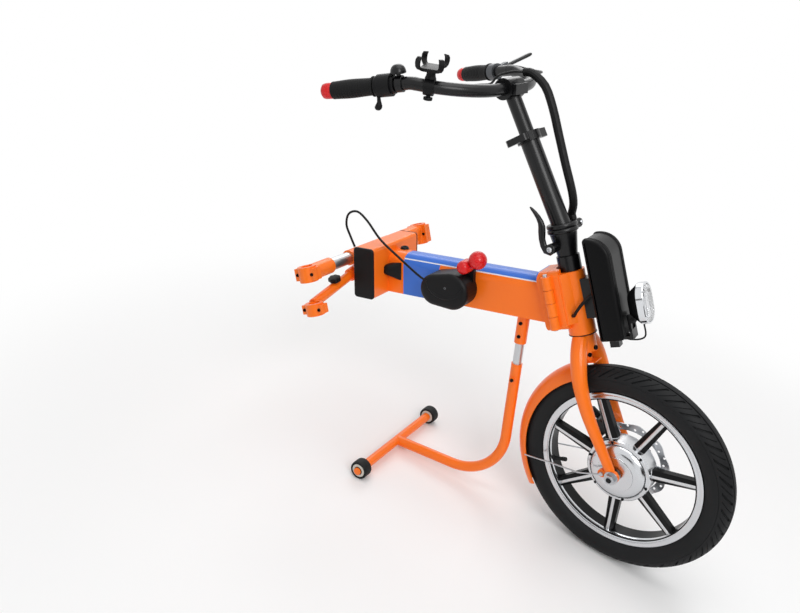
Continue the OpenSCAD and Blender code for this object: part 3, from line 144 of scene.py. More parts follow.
# Dark flags beside the sweep, seen only in reflections, give the polished metal its dark bands.
flag_cloth = finish("black_flag_cloth", "#0A0A0A", 0.0, 0.95, 1.5, 0.0)[0]
for name, x, y, z, turn, wide, high in (("flag_front", 1.1, -0.3, 0.42, 90, 1.4, 0.55),
                                        ("flag_right", -0.2, -1.9, 0.3, 0, 0.8, 0.5)):
    cloth = bpy.data.meshes.new(name)
    cloth.from_pydata([(-wide / 2, 0, -high / 2), (wide / 2, 0, -high / 2), (wide / 2, 0, high / 2),
                       (-wide / 2, 0, high / 2)], [], [(0, 1, 2, 3)])
    flag = bpy.data.objects.new(name, cloth)
    bpy.context.scene.collection.objects.link(flag)
    flag.location = (x, y, z)
    flag.rotation_euler = (0, 0, radians(turn))
    flag.data.materials.append(flag_cloth)
    flag.visible_camera = flag.visible_diffuse = flag.visible_shadow = False

# Seamless white paper: keeps the contact shadow near the unit and turns into the backdrop further out.
paper, paper_shader = finish("white_backdrop_paper", "#FAFAFA", 0.0, 0.9)
paper_place = add(paper, "ShaderNodeTexCoord", {}, {})
paper_far = add(paper, "ShaderNodeVectorMath", {"operation": "LENGTH"}, {0: paper_place.outputs["Object"]})
paper_fade = add(paper, "ShaderNodeMapRange", {
    "From Min": 0.75, "From Max": 1.5, "interpolation_type": "SMOOTHSTEP"}, {
    "Value": paper_far.outputs["Value"]})
paper_rays = add(paper, "ShaderNodeLightPath", {}, {})
paper_seen = add(paper, "ShaderNodeMath", {"operation": "MAXIMUM"}, {
    0: paper_rays.outputs["Is Camera Ray"], 1: paper_rays.outputs["Is Glossy Ray"]})
paper_seen = add(paper, "ShaderNodeMath", {"operation": "MAXIMUM"}, {
    0: paper_seen.outputs[0], 1: paper_rays.outputs["Is Transmission Ray"]})
paper_share = add(paper, "ShaderNodeMath", {"operation": "MULTIPLY"}, {
    0: paper_fade.outputs[0], 1: paper_seen.outputs[0]})
paper_white = add(paper, "ShaderNodeEmission", {"Color": (1, 1, 1, 1), "Strength": 1.0}, {})
paper_mix = add(paper, "ShaderNodeMixShader", {}, {
    0: paper_share.outputs[0], 1: paper_shader.outputs[0], 2: paper_white.outputs[0]})
wire(paper, paper.node_tree.nodes["Material Output"], {"Surface": paper_mix.outputs[0]})
PAPER_HALF = 15
sheet = bpy.data.meshes.new("studio_floor")
sheet.from_pydata([(x * PAPER_HALF, y * PAPER_HALF, 0) for x, y in ((-1, -1), (1, -1), (1, 1), (-1, 1))], [],
                  [(0, 1, 2, 3)])
floor = bpy.data.objects.new("studio_floor", sheet)
bpy.context.scene.collection.objects.link(floor)
floor.location = (-0.25, 0, 0)
floor.data.materials.append(paper)

# Tyre. A pneumatic 16-inch tyre, moulded in black rubber, with leaning shoulder grooves on either side
# of two round grooves and a plain centre rib; its beads seat it on the rim.
HEAD_SETBACK = 27.047
STEER_REST = -7.5
FORK_RAKE = 26
AXLE_DROP = 7.455
head = parked @ shift(-HEAD_SETBACK, 0, WHEEL_RADIUS) @ spin("Y", -HEAD_LEAN)
fork = head @ spin("Z", STEER_REST)
wheel = fork @ shift(FORK_RAKE, 0, -AXLE_DROP) @ spin("Y", HEAD_LEAN)


def loft(bm, rings, loop=False, caps=False):
    made = [[bm.verts.new(point) for point in ring] for ring in rings]
    for near, far in zip(made, made[1:] + made[:1] if loop else made[1:]):
        for i in range(len(near)):
            bm.faces.new((near[i - 1], near[i], far[i], far[i - 1]))
    if caps:
        bm.faces.new(made[0])
        bm.faces.new(made[-1])


def piece(name, bm, skin, body, crease=35):
    bmesh.ops.remove_doubles(bm, verts=bm.verts, dist=1e-6)
    bmesh.ops.recalc_face_normals(bm, faces=bm.faces)
    mesh = bpy.data.meshes.new(name)
    bm.to_mesh(mesh)
    bm.free()
    mesh.shade_smooth()
    mesh.set_sharp_from_angle(angle=radians(crease))
    mesh.materials.append(skin)
    made = bpy.data.objects.new(name, mesh)
    bpy.context.scene.collection.objects.link(made)
    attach(made, body)
    return made


def dress(skin, *names):
    for name in names:
        for place in nodes[name].material_slots:
            place.material = skin


# Moulded tyre rubber: near black, matt, with fine mould grain and a little dust in the grain.
tyre_rubber, tyre_shader = finish("moulded_tyre_rubber", "#0E0F10", 0.0, 0.6, 1.52, 0.22)
rubber_place = add(tyre_rubber, "ShaderNodeTexCoord", {}, {})
rubber_grain = add(tyre_rubber, "ShaderNodeTexNoise", {"Scale": 1000 / 1.6, "Detail": 3.0}, {
    "Vector": rubber_place.outputs["Object"]})
rubber_dust = add(tyre_rubber, "ShaderNodeTexNoise", {"Scale": 1000 / 60, "Detail": 4.0}, {
    "Vector": rubber_place.outputs["Object"]})
rubber_tint = add(tyre_rubber, "ShaderNodeMix", {
    "data_type": "RGBA", 6: linear("#0A0B0C"), 7: linear("#17181A")}, {0: rubber_dust.outputs["Fac"]})
rubber_bump = add(tyre_rubber, "ShaderNodeBump", {"Strength": 0.25, "Distance": 0.0003}, {
    "Height": rubber_grain.outputs["Fac"]})
wire(tyre_rubber, tyre_shader, {"Base Color": rubber_tint.outputs[2], "Normal": rubber_bump.outputs[0]})

TYRE_SECTION = 26.5
TREAD_PITCHES = 38
SHOULDER_FROM, SHOULDER_TO = 20, 66
ROUND_GROOVE = (11.8, 15.2)
ROUND_DEPTH = 2.2
SIDE_LINE = 76.4
SIDE_LINE_DEPTH = 0.5
half_section = (0, 5, 10.6, 11.8, 15.2, 16.4, 20, 22, 28, 34, 40, 46, 52, 58, 63, 66, 69, 72, 75.4, 76.4, 77.4,
                82, 90, 98, 106, 114, 121, 128)
tread_cuts = ((0.0, 1.4), (0.03, 0), (0.14, 0), (0.27, 0), (0.40, 0), (0.44, 2.8), (0.55, 2.8), (0.60, 0),
              (0.73, 0), (0.86, 0), (0.97, 0))
bead_foot = [(158.6, 16.0, 1.75), (154.4, 14.4, 1.75), (154.4, -14.4, 1.25), (158.6, -16.0, 1.25)]
bm = bmesh.new()
tyre_rings = []
for pitch in range(TREAD_PITCHES):
    for phase, cut in tread_cuts:
        ring = []
        for turn in [-t for t in half_section[:0:-1]] + list(half_section):
            side = abs(turn)
            depth = cut * max(0.0, min(1.0, (side - SHOULDER_FROM) / 2, (SHOULDER_TO - side) / 3))
            if side in ROUND_GROOVE:
                depth = ROUND_DEPTH
            if side == SIDE_LINE:
                depth = SIDE_LINE_DEPTH
            reach = TYRE_SECTION - depth
            lean = 1.5 * (1 - cos(radians(min(side, 90)))) + 0.25 * max(-1, min(1, turn / 10))
            out = WHEEL_RADIUS - TYRE_SECTION + reach * cos(radians(turn))
            ring.append((out, reach * sin(radians(turn)), lean))
        ring += bead_foot
        turns = [2 * pi / TREAD_PITCHES * (pitch + phase + lean) for out, across, lean in ring]
        tyre_rings.append([wheel @ mm(out * cos(t), across, out * sin(t))
                           for (out, across, lean), t in zip(ring, turns)])
loft(bm, tyre_rings, loop=True)
tyre = piece("tyre_with_tread", bm, tyre_rubber, "wheel", 40)
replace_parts(tyre, "tyre")

# Rim. A seven-spoke die-cast aluminium rim, painted black and then skimmed bright along the ridge of
# each spoke and round the hub's barrel.
RIDGE_FOOT, RIDGE_TOP = 11.1, 11.4
SPOKE_END = 143.2
BARREL_RADIUS = 62.7
wheel_back = wheel.inverted()
# Black paint with skimmed aluminium: gloss black in the hollows, bright turned metal on the raised faces.
rim_skin, rim_shader = finish("skimmed_black_cast_rim", "#0D0D0E", 0.0, 0.3, 1.5, 0.14)
rim_place = add(rim_skin, "ShaderNodeTexCoord", {}, {})
rim_local = add(rim_skin, "ShaderNodeMapping", {
    "Location": wheel_back.to_translation(), "Rotation": wheel_back.to_euler()}, {
    "Vector": rim_place.outputs["Object"]})
rim_axes = add(rim_skin, "ShaderNodeSeparateXYZ", {}, {0: rim_local.outputs[0]})
rim_side = add(rim_skin, "ShaderNodeMath", {"operation": "ABSOLUTE"}, {0: rim_axes.outputs["Y"]})
rim_flat = add(rim_skin, "ShaderNodeCombineXYZ", {}, {"X": rim_axes.outputs["X"], "Z": rim_axes.outputs["Z"]})
rim_out = add(rim_skin, "ShaderNodeVectorMath", {"operation": "LENGTH"}, {0: rim_flat.outputs[0]})
rim_ridge = add(rim_skin, "ShaderNodeMapRange", {"From Min": RIDGE_FOOT / 1000, "From Max": RIDGE_TOP / 1000}, {
    "Value": rim_side.outputs[0]})
rim_inside = add(rim_skin, "ShaderNodeMath", {"operation": "LESS_THAN", 1: SPOKE_END / 1000}, {
    0: rim_out.outputs["Value"]})
rim_barrel = add(rim_skin, "ShaderNodeMath", {"operation": "LESS_THAN", 1: BARREL_RADIUS / 1000}, {
    0: rim_out.outputs["Value"]})
rim_spoke = add(rim_skin, "ShaderNodeMath", {"operation": "MULTIPLY"}, {
    0: rim_ridge.outputs[0], 1: rim_inside.outputs[0]})
rim_bright = add(rim_skin, "ShaderNodeMath", {"operation": "MAXIMUM"}, {
    0: rim_spoke.outputs[0], 1: rim_barrel.outputs[0]})
rim_tooling = add(rim_skin, "ShaderNodeTexNoise", {"Scale": 1000 / 3, "Detail": 2.0}, {
    "Vector": rim_local.outputs[0]})
rim_tint = add(rim_skin, "ShaderNodeMix", {"data_type": "RGBA", 6: linear("#0D0D0E"), 7: linear("#D2D3D5")}, {
    0: rim_bright.outputs[0]})
rim_gloss = add(rim_skin, "ShaderNodeMapRange", {"To Min": 0.24, "To Max": 0.36}, {
    "Value": rim_tooling.outputs["Fac"]})
wire(rim_skin, rim_shader, {
    "Base Color": rim_tint.outputs[2], "Metallic": rim_bright.outputs[0], "Roughness": rim_gloss.outputs[0]})
dress(rim_skin, "rim")

# Hub motor. Turned and polished aluminium covers screwed on round the edge, on a steel axle; the right
# cover bulges, and the left one carries the brake disc. The rim's lips have the same polish.
# Polished aluminium: bright, with faint turning rings and soft blotches of handling.
hub_alloy, hub_shader = finish("polished_hub_aluminium", "#CFD1D4", 1.0, 0.18)
hub_place = add(hub_alloy, "ShaderNodeTexCoord", {}, {})
hub_local = add(hub_alloy, "ShaderNodeMapping", {
    "Location": wheel_back.to_translation(), "Rotation": wheel_back.to_euler()}, {
    "Vector": hub_place.outputs["Object"]})
hub_rings = add(hub_alloy, "ShaderNodeTexWave", {
    "wave_type": "RINGS", "rings_direction": "Y", "Scale": 1000 / (2 * pi * 1.4) / 3, "Distortion": 0.4}, {
    "Vector": hub_local.outputs[0]})
hub_blotch = add(hub_alloy, "ShaderNodeTexNoise", {"Scale": 1000 / 25, "Detail": 3.0}, {
    "Vector": hub_local.outputs[0]})
hub_gloss = add(hub_alloy, "ShaderNodeMapRange", {"To Min": 0.13, "To Max": 0.24}, {
    "Value": hub_blotch.outputs["Fac"]})
hub_bump = add(hub_alloy, "ShaderNodeBump", {"Strength": 0.06, "Distance": 0.0002}, {
    "Height": hub_rings.outputs["Fac"]})
wire(hub_alloy, hub_shader, {"Roughness": hub_gloss.outputs[0], "Normal": hub_bump.outputs[0]})
dress(hub_alloy, "hub_cover_right", "hub_cover_left")


def lathe(bm, place, outline, steps=40, loop=False):
    rounds = [2 * pi * i / steps for i in range(steps)]
    loft(bm, [[place @ mm(r * cos(t), r * sin(t), h) for t in rounds] for r, h in
              (outline + outline[:1] if loop else outline)])


hub_cover = ((12.4, 20), (12.4, 32.4), (34, 32.4), (35, 32), (35.4, 31.2), (36.4, 31), (43, 30.2), (49, 27.8),
             (53, 24.6), (55, 21.6), (55.6, 20), (56.6, 19.4), (60.6, 19), (61.6, 18.2), (62, 16.4), (62, 12))
bm = bmesh.new()
lathe(bm, wheel @ spin("X", 90), hub_cover, 96, True)
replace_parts(piece("turned_hub_cover", bm, hub_alloy, "wheel", 20), "hub_cover_right")
right_well = ((144.2, 8), (143.2, 12.5), (144.5, 16.6))
left_well = ((145.5, 16.6),)
rim_lip = ((146.5, 18.5), (147.6, 19), (148.8, 18.3), (152.4, 18.2), (153.4, 18.5), (154.2, 19), (156.6, 19.1),
           (157.8, 18.5), (158.2, 16.9))
bm = bmesh.new()
for face, well in ((90, right_well), (-90, left_well)):
    lathe(bm, wheel @ spin("X", face), well + rim_lip, 120, True)
piece("polished_rim_lips", bm, hub_alloy, "wheel")

# Steel fittings. The disc, axle, nuts, bearings, stays and the frame hinge's pin are steel, turned, stamped
# or drawn and then zinc plated.
# Zinc plate: bright grey metal with fine uneven streaks.
plated_steel, steel_shader = finish("zinc_plated_steel", "#B9BBBE", 1.0, 0.3)
steel_place = add(plated_steel, "ShaderNodeTexCoord", {}, {})
steel_streak = add(plated_steel, "ShaderNodeTexNoise", {"Scale": 1000 / 4, "Detail": 5.0, "Roughness": 0.7}, {
    "Vector": steel_place.outputs["Object"]})
steel_gloss = add(plated_steel, "ShaderNodeMapRange", {"To Min": 0.22, "To Max": 0.42}, {
    "Value": steel_streak.outputs["Fac"]})
steel_tint = add(plated_steel, "ShaderNodeMix", {
    "data_type": "RGBA", 6: linear("#A8AAAE"), 7: linear("#CDCFD2")}, {0: steel_streak.outputs["Fac"]})
wire(plated_steel, steel_shader, {"Roughness": steel_gloss.outputs[0], "Base Color": steel_tint.outputs[2]})
dress(plated_steel, "brake_disc", "motor_axle", "axle_nuts", "wheel_bearings", "headset_bearings",
      "fender_stays", "frame_hinge_pin")

# Motor inside. Sintered magnets are glued round the inside of the shell, and the stator on the axle is wound
# with enamelled copper wire.
# Nickel plate: dull warm grey metal, slightly mottled.
magnet_nickel, magnet_shader = finish("nickel_plated_magnet", "#8C8C88", 1.0, 0.3)
magnet_place = add(magnet_nickel, "ShaderNodeTexCoord", {}, {})
magnet_speck = add(magnet_nickel, "ShaderNodeTexNoise", {"Scale": 1000 / 5, "Detail": 3.0}, {
    "Vector": magnet_place.outputs["Object"]})
magnet_gloss = add(magnet_nickel, "ShaderNodeMapRange", {"To Min": 0.25, "To Max": 0.45}, {
    "Value": magnet_speck.outputs["Fac"]})
wire(magnet_nickel, magnet_shader, {"Roughness": magnet_gloss.outputs[0]})
dress(magnet_nickel, "magnet_ring")
# Enamelled wire: orange copper in fine even rows, drawn coarser than it is so that it shows.
winding, winding_shader = finish("enamelled_copper_winding", "#B5622C", 1.0, 0.35)
winding_place = add(winding, "ShaderNodeTexCoord", {}, {})
winding_wires = add(winding, "ShaderNodeTexWave", {"Scale": 1000 / (2 * pi * 1.2), "Distortion": 1.0}, {
    "Vector": winding_place.outputs["Object"]})
winding_bump = add(winding, "ShaderNodeBump", {"Strength": 0.4, "Distance": 0.0004}, {
    "Height": winding_wires.outputs["Fac"]})
wire(winding, winding_shader, {"Normal": winding_bump.outputs[0]})
dress(winding, "motor_stator")

# Hub screws. Steel socket screws, blackened, round the edge of each hub cover and sunk square to its curve;
# dark rubber plugs are pushed into the axle's ends.
HUB_SCREWS = 6
FIRST_SCREW = 15
AXLE_HALF = 58


def socket_screw(bm, place, head, height):
    lathe(bm, place, ((0, -1), (head, -1), (head, height * 0.8), (head * 0.86, height), (head * 0.58, height),
                      (head * 0.5, height * 0.35), (0, height * 0.35)), 24)


# Blackened steel: dark grey metal, worn a little brighter in spots.
black_screw, screw_shader = finish("blackened_steel_screw", "#1E1F21", 1.0, 0.4)
screw_place = add(black_screw, "ShaderNodeTexCoord", {}, {})
screw_wear = add(black_screw, "ShaderNodeTexNoise", {"Scale": 1000 / 3, "Detail": 3.0}, {
    "Vector": screw_place.outputs["Object"]})
screw_gloss = add(black_screw, "ShaderNodeMapRange", {"To Min": 0.28, "To Max": 0.5}, {
    "Value": screw_wear.outputs["Fac"]})
wire(black_screw, screw_shader, {"Roughness": screw_gloss.outputs[0]})
bm = bmesh.new()
for i in range(HUB_SCREWS):
    spot = wheel @ spin("Y", 360 / HUB_SCREWS * i + FIRST_SCREW)
    socket_screw(bm, spot @ shift(58.6, -19.2, 0) @ spin("X", 90), 2.6, 1.6)
    socket_screw(bm, spot @ shift(58.4, 19.5, 0) @ spin("Z", -24) @ spin("X", -90), 3.0, 1.2)
piece("hub_cover_screws", bm, black_screw, "wheel")
axle_plug = ((0, 0.5), (3.6, 0.5), (4.4, 1.0), (5.2, 0.6), (5.2, -1), (0, -1))
bm = bmesh.new()
for face in (90, -90):
    lathe(bm, wheel @ spin("X", face) @ shift(0, 0, AXLE_HALF), axle_plug, 24)
piece("axle_end_plugs", bm, tyre_rubber, "steering")

# Valve. A snap-in valve of black rubber with a plain plastic cap, pulled through a hole in the rim between
# two spokes.
VALVE_TURN = -194
valve = ((0, -1), (7.5, -1), (7.5, 1.5), (4.2, 4), (3.9, 17), (3.4, 18), (3.4, 19), (4.4, 19.5), (4.4, 28),
         (3.6, 29), (0, 29))
bm = bmesh.new()
lathe(bm, wheel @ spin("Y", VALVE_TURN) @ shift(145.5, -2, 0) @ spin("Y", -90), valve, 20)
piece("tyre_valve", bm, tyre_rubber, "wheel")

# Fork. Crown and two tapered legs with dropouts, welded steel under orange powder coat; the fender, the
# head tube, the dock and the stand have the same coat.
# Powder coat: strong orange, glossy, with the shallow ripple of sprayed and baked paint.
orange_coat, orange_shader = finish("orange_powder_coat", "#FC7618", 0.0, 0.3, 1.5, 0.3)
orange_shader.inputs["Coat Weight"].default_value = 0.12
orange_shader.inputs["Coat Roughness"].default_value = 0.12
orange_place = add(orange_coat, "ShaderNodeTexCoord", {}, {})
orange_ripple = add(orange_coat, "ShaderNodeTexNoise", {"Scale": 1000 / 2.5, "Detail": 1.0}, {
    "Vector": orange_place.outputs["Object"]})
orange_cloud = add(orange_coat, "ShaderNodeTexNoise", {"Scale": 1000 / 90, "Detail": 3.0}, {
    "Vector": orange_place.outputs["Object"]})
orange_tint = add(orange_coat, "ShaderNodeMix", {
    "data_type": "RGBA", 6: linear("#FA7112"), 7: linear("#FF7C1C")}, {0: orange_cloud.outputs["Fac"]})
orange_gloss = add(orange_coat, "ShaderNodeMapRange", {"To Min": 0.24, "To Max": 0.36}, {
    "Value": orange_cloud.outputs["Fac"]})
orange_bump = add(orange_coat, "ShaderNodeBump", {"Strength": 0.05, "Distance": 0.0002}, {
    "Height": orange_ripple.outputs["Fac"]})
wire(orange_coat, orange_shader, {
    "Base Color": orange_tint.outputs[2], "Roughness": orange_gloss.outputs[0],
    "Normal": orange_bump.outputs[0]})
dress(orange_coat, "fork", "fender", "head_tube", "dock_box", "left_clamp_arm", "right_sleeve", "lower_brace",
      "stand_leg")
bm = bmesh.new()
socket_screw(bm, fork @ spin("Z", -8) @ shift(20.6, 0, 233) @ spin("Y", 90), 4.4, 3.4)
socket_screw(bm, fork @ spin("Z", -30) @ shift(7.8, 0, 219) @ spin("Y", 90), 4.0, 3.0)
piece("crown_screws", bm, black_screw, "steering")

# Black metal parts. Stem base, post, quill, latches, caliper and bar are aluminium, cast or drawn, under satin
# black powder coat.
# Satin coat: near black with a broad soft highlight and a fine grain.
black_coat, black_shader = finish("satin_black_powder_coat", "#08080A", 0.0, 0.3, 1.5, 0.34)
black_place = add(black_coat, "ShaderNodeTexCoord", {}, {})
black_grain = add(black_coat, "ShaderNodeTexNoise", {"Scale": 1000 / 1.8, "Detail": 2.0}, {
    "Vector": black_place.outputs["Object"]})
black_rub = add(black_coat, "ShaderNodeTexNoise", {"Scale": 1000 / 45, "Detail": 4.0}, {
    "Vector": black_place.outputs["Object"]})
black_gloss = add(black_coat, "ShaderNodeMapRange", {"To Min": 0.22, "To Max": 0.36}, {
    "Value": black_rub.outputs["Fac"]})
black_bump = add(black_coat, "ShaderNodeBump", {"Strength": 0.08, "Distance": 0.0002}, {
    "Height": black_grain.outputs["Fac"]})
wire(black_coat, black_shader, {"Roughness": black_gloss.outputs[0], "Normal": black_bump.outputs[0]})
dress(black_coat, "stem_base", "stem_latch", "lower_post", "post_collar", "post_lever", "stem_quill",
      "handlebar", "brake_caliper", "caliper_arm", "frame_latch", "battery_bracket", "brake_lever")

# Plastic parts. Controls, lock cover, controller and lamp shell are moulded in black ABS; a seal ring of it
# closes the foot of the head tube.
# Grained ABS: near black and matt, with the fine grain of a spark-eroded mould.
black_abs, abs_shader = finish("grained_black_abs", "#08080A", 0.0, 0.45, 1.53, 0.18)
abs_place = add(black_abs, "ShaderNodeTexCoord", {}, {})
abs_grain = add(black_abs, "ShaderNodeTexNoise", {"Scale": 1000 / 1.2, "Detail": 2.0}, {
    "Vector": abs_place.outputs["Object"]})
abs_cloud = add(black_abs, "ShaderNodeTexNoise", {"Scale": 1000 / 50, "Detail": 3.0}, {
    "Vector": abs_place.outputs["Object"]})
abs_tint = add(black_abs, "ShaderNodeMix", {"data_type": "RGBA", 6: linear("#070708"), 7: linear("#0E0E10")}, {
    0: abs_cloud.outputs["Fac"]})
abs_bump = add(black_abs, "ShaderNodeBump", {"Strength": 0.15, "Distance": 0.0002}, {
    "Height": abs_grain.outputs["Fac"]})
wire(black_abs, abs_shader, {"Base Color": abs_tint.outputs[2], "Normal": abs_bump.outputs[0]})
dress(black_abs, "throttle_body", "throttle_paddle", "bell", "phone_holder", "battery_case", "battery_front",
      "dock_trim", "lock_cover", "motor_controller", "lamp_housing", "grips", "stand_button", "roller_right",
      "roller_left")
seal_ring = ((20.5, 260.7), (25.3, 260.7), (25.9, 261.3), (25.9, 262.2), (25.2, 262.8), (20.5, 262.8))
bm = bmesh.new()
lathe(bm, head, seal_ring, 48, True)
piece("head_seal_ring", bm, black_abs, "head")

# Handlepost fittings. Rounded flanges of black coated aluminium face each other at the fold hinge, where a
# plated pin end shows; a plated bolt holds the stem latch.
FOLD_HEIGHT = 461
LATCH_X, LATCH_Z = -8, FOLD_HEIGHT - 30
FLANGE = 8.1
for name, body, low in (("lower_fold_flange", "steering", FOLD_HEIGHT - 8.4),
                        ("upper_fold_flange", "post", FOLD_HEIGHT + 0.3)):
    high = low + FLANGE
    bm = bmesh.new()
    lathe(bm, fork, ((20, low + 0.6), (26.2, low), (27.4, low + 0.8), (28, low + 2.2), (28, high - 2.2),
                     (27.4, high - 0.8), (26.2, high), (20, high - 0.6)), 64, True)
    piece(name, bm, black_coat, body)
pin_end = ((0, -1), (3.6, -1), (3.6, 1.6), (2.8, 2.6), (0, 3.0))
bm = bmesh.new()
lathe(bm, fork @ shift(18.0, 37, FOLD_HEIGHT) @ spin("Y", 90), pin_end, 24)
piece("fold_pin_end", bm, plated_steel, "steering")
# The latch itself is a slim forged lever that hooks under its pivot and rises in a flat S to a thin tip.
latch = fork @ shift(LATCH_X, -39, LATCH_Z)
latch_pivot = ((0, -14), (3.8, -14), (3.8, -5.4), (8.8, -5.4), (9.6, -4.6), (9.6, 4.2), (8.8, 5), (0, 5))
latch_curve = ((3, -2, 6.5, 4.6), (-3, -4, 8, 5), (-10, -1, 7.6, 5), (-13.6, 8, 6.4, 5), (-14, 20, 6.2, 5),
               (-11.6, 32, 7, 5), (-9.4, 42, 6.8, 5), (-9.8, 50, 5.6, 4.8), (-13, 60, 4.4, 4.4),
               (-17.6, 69, 3.4, 3.8), (-22.2, 76, 2.4, 3), (-25, 80, 1.2, 1.6))
bm = bmesh.new()
lathe(bm, latch @ spin("X", 90), latch_pivot, 40)
latch_rings = []
for i, (x, z, half, thick) in enumerate(latch_curve):
    ahead_of, behind = latch_curve[min(i + 1, len(latch_curve) - 1)], latch_curve[max(i - 1, 0)]
    run = Vector((ahead_of[0] - behind[0], 0, ahead_of[1] - behind[1])).normalized()
    across = Vector((-run.z, 0, run.x))
    latch_rings.append([latch @ (mm(x, thick * sin(t), z) + half * cos(t) * across / 1000)
                        for t in (2 * pi * k / 20 for k in range(20))])
loft(bm, latch_rings, caps=True)
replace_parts(piece("stem_latch_lever", bm, black_coat, "stem_latch"), "stem_latch")
bm = bmesh.new()
socket_screw(bm, fork @ shift(LATCH_X, -43.6, LATCH_Z) @ spin("X", 90), 5.0, 3.2)
piece("stem_latch_bolt", bm, plated_steel, "stem_latch")

# Battery. Two black ABS shells screwed together round the cells: smooth rounded sides, two beads along
# each side edge and a sunk, glossier panel down the front and over the top.
PANEL_HALF = 23.6
# Battery shell plastic: dark, satin on the sides and glossier on the panel.
shell_abs, shell_shader = finish("satin_and_gloss_battery_abs", "#060607", 0.0, 0.4, 1.53, 0.12)
shell_place = add(shell_abs, "ShaderNodeTexCoord", {}, {})
shell_axes = add(shell_abs, "ShaderNodeSeparateXYZ", {}, {0: shell_place.outputs["Object"]})
shell_side = add(shell_abs, "ShaderNodeMath", {"operation": "ABSOLUTE"}, {0: shell_axes.outputs["Y"]})
shell_panel = add(shell_abs, "ShaderNodeMath", {"operation": "LESS_THAN", 1: PANEL_HALF / 1000}, {
    0: shell_side.outputs[0]})
shell_cloud = add(shell_abs, "ShaderNodeTexNoise", {"Scale": 1000 / 40, "Detail": 3.0}, {
    "Vector": shell_place.outputs["Object"]})
shell_satin = add(shell_abs, "ShaderNodeMapRange", {"To Min": 0.36, "To Max": 0.46}, {
    "Value": shell_cloud.outputs["Fac"]})
shell_gloss = add(shell_abs, "ShaderNodeMix", {"data_type": "FLOAT", 3: 0.3}, {
    0: shell_panel.outputs[0], 2: shell_satin.outputs[0]})
shell_grain = add(shell_abs, "ShaderNodeTexNoise", {"Scale": 1000 / 1.2, "Detail": 2.0}, {
    "Vector": shell_place.outputs["Object"]})
shell_bump = add(shell_abs, "ShaderNodeBump", {"Strength": 0.06, "Distance": 0.0002}, {
    "Height": shell_grain.outputs["Fac"]})
wire(shell_abs, shell_shader, {"Roughness": shell_gloss.outputs[0], "Normal": shell_bump.outputs[0]})


def rounded(corners, steps=10):
    return [(x + r * cos(a), z + r * sin(a), cos(a), sin(a)) for x, z, r, start in corners
            for a in (radians(start + 90 * i / steps) for i in range(steps + 1))]


battery_edge = rounded(((50, 401, 38, 0), (49, 434, 5, 90), (48, 256, 4, 180), (80, 260, 8, 270)), 14)
battery_half = ((40.0, 7.0), (39.8, 5.0), (39.2, 3.2), (38.0, 1.5), (36.4, 0.4), (34.6, 0.0), (32.6, 0.0),
                (32.2, -0.7), (31.2, -0.9), (30.2, -0.7), (29.8, 0.0), (28.4, 0.0), (28.0, -0.7), (27.0, -0.9),
                (26.0, -0.7), (25.6, 0.0), (24.4, 0.0), (PANEL_HALF, 0.9), (12.0, 0.9))
bm = bmesh.new()
loft(bm, [[head @ mm(x - inset * nx, y, z - inset * nz) for x, z, nx, nz in battery_edge]
          for y, inset in battery_half + tuple((-y, inset) for y, inset in reversed(battery_half))], caps=True)
battery = piece("battery_shell", bm, shell_abs, "head", 40)
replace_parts(battery, "battery_case", "battery_front")

# Headlamp. A black ABS shell with a chromed bezel and dish, closed by a clear domed polycarbonate cover,
# hung in a fork on the battery bracket.
# Vacuum chrome: mirror bright, with a slight waviness of the moulding below it.
chrome, chrome_shader = finish("vacuum_chromed_abs", "#DADCDF", 1.0, 0.1)
chrome_place = add(chrome, "ShaderNodeTexCoord", {}, {})
chrome_wave = add(chrome, "ShaderNodeTexNoise", {"Scale": 1000 / 9, "Detail": 1.0}, {
    "Vector": chrome_place.outputs["Object"]})
chrome_gloss = add(chrome, "ShaderNodeMapRange", {"To Min": 0.06, "To Max": 0.16}, {
    "Value": chrome_wave.outputs["Fac"]})
chrome_bump = add(chrome, "ShaderNodeBump", {"Strength": 0.06, "Distance": 0.0004}, {
    "Height": chrome_wave.outputs["Fac"]})
wire(chrome, chrome_shader, {"Roughness": chrome_gloss.outputs[0], "Normal": chrome_bump.outputs[0]})
LAMP_HEIGHT = 308
lamp_edge = rounded(((4, 12, 24, 0), (-4, 12, 24, 90), (-4, -12, 24, 180), (4, -12, 24, 270)))
bezel = ((117.0, 1.0), (116.0, -0.2), (116.4, -0.8), (127.4, -0.8), (128.6, 0.0), (129.0, 1.2), (128.6, 2.6),
         (124.5, 4.2), (121.0, 8.0), (119.4, 14.0), (118.8, 22.0))
bm = bmesh.new()
loft(bm, [[head @ mm(x, y - inset * ny, LAMP_HEIGHT + z - inset * nz) for y, z, ny, nz in lamp_edge]
          for x, inset in bezel], caps=True)
piece("lamp_bezel_and_dish", bm, chrome, "lamp", 30)
# Clear polycarbonate: colourless, with shallow upright flutes that spread the light.
clear_lens, lens_shader = finish("clear_polycarbonate", "#FFFFFF", 0.0, 0.04, 1.585)
lens_shader.inputs["Transmission Weight"].default_value = 1.0
lens_place = add(clear_lens, "ShaderNodeTexCoord", {}, {})
lens_flute = add(clear_lens, "ShaderNodeTexWave", {"bands_direction": "Y", "Scale": 1000 / (2 * pi * 5) * 2}, {
    "Vector": lens_place.outputs["Object"]})
lens_bump = add(clear_lens, "ShaderNodeBump", {"Strength": 0.15, "Distance": 0.0006}, {
    "Height": lens_flute.outputs["Fac"]})
wire(clear_lens, lens_shader, {"Normal": lens_bump.outputs[0]})
dress(clear_lens, "lamp_lens")
cover = ((130.6, 20), (129.8, 12), (127.8, 7), (125.4, 4.4), (127.2, 2.8), (130.0, 5.6), (131.8, 12),
         (132.6, 20))
bm = bmesh.new()
loft(bm, [[head @ mm(x, y - inset * ny, LAMP_HEIGHT + z - inset * nz) for y, z, ny, nz in lamp_edge]
          for x, inset in cover], caps=True)
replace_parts(piece("lamp_cover", bm, clear_lens, "lamp", 50), "lamp_lens")

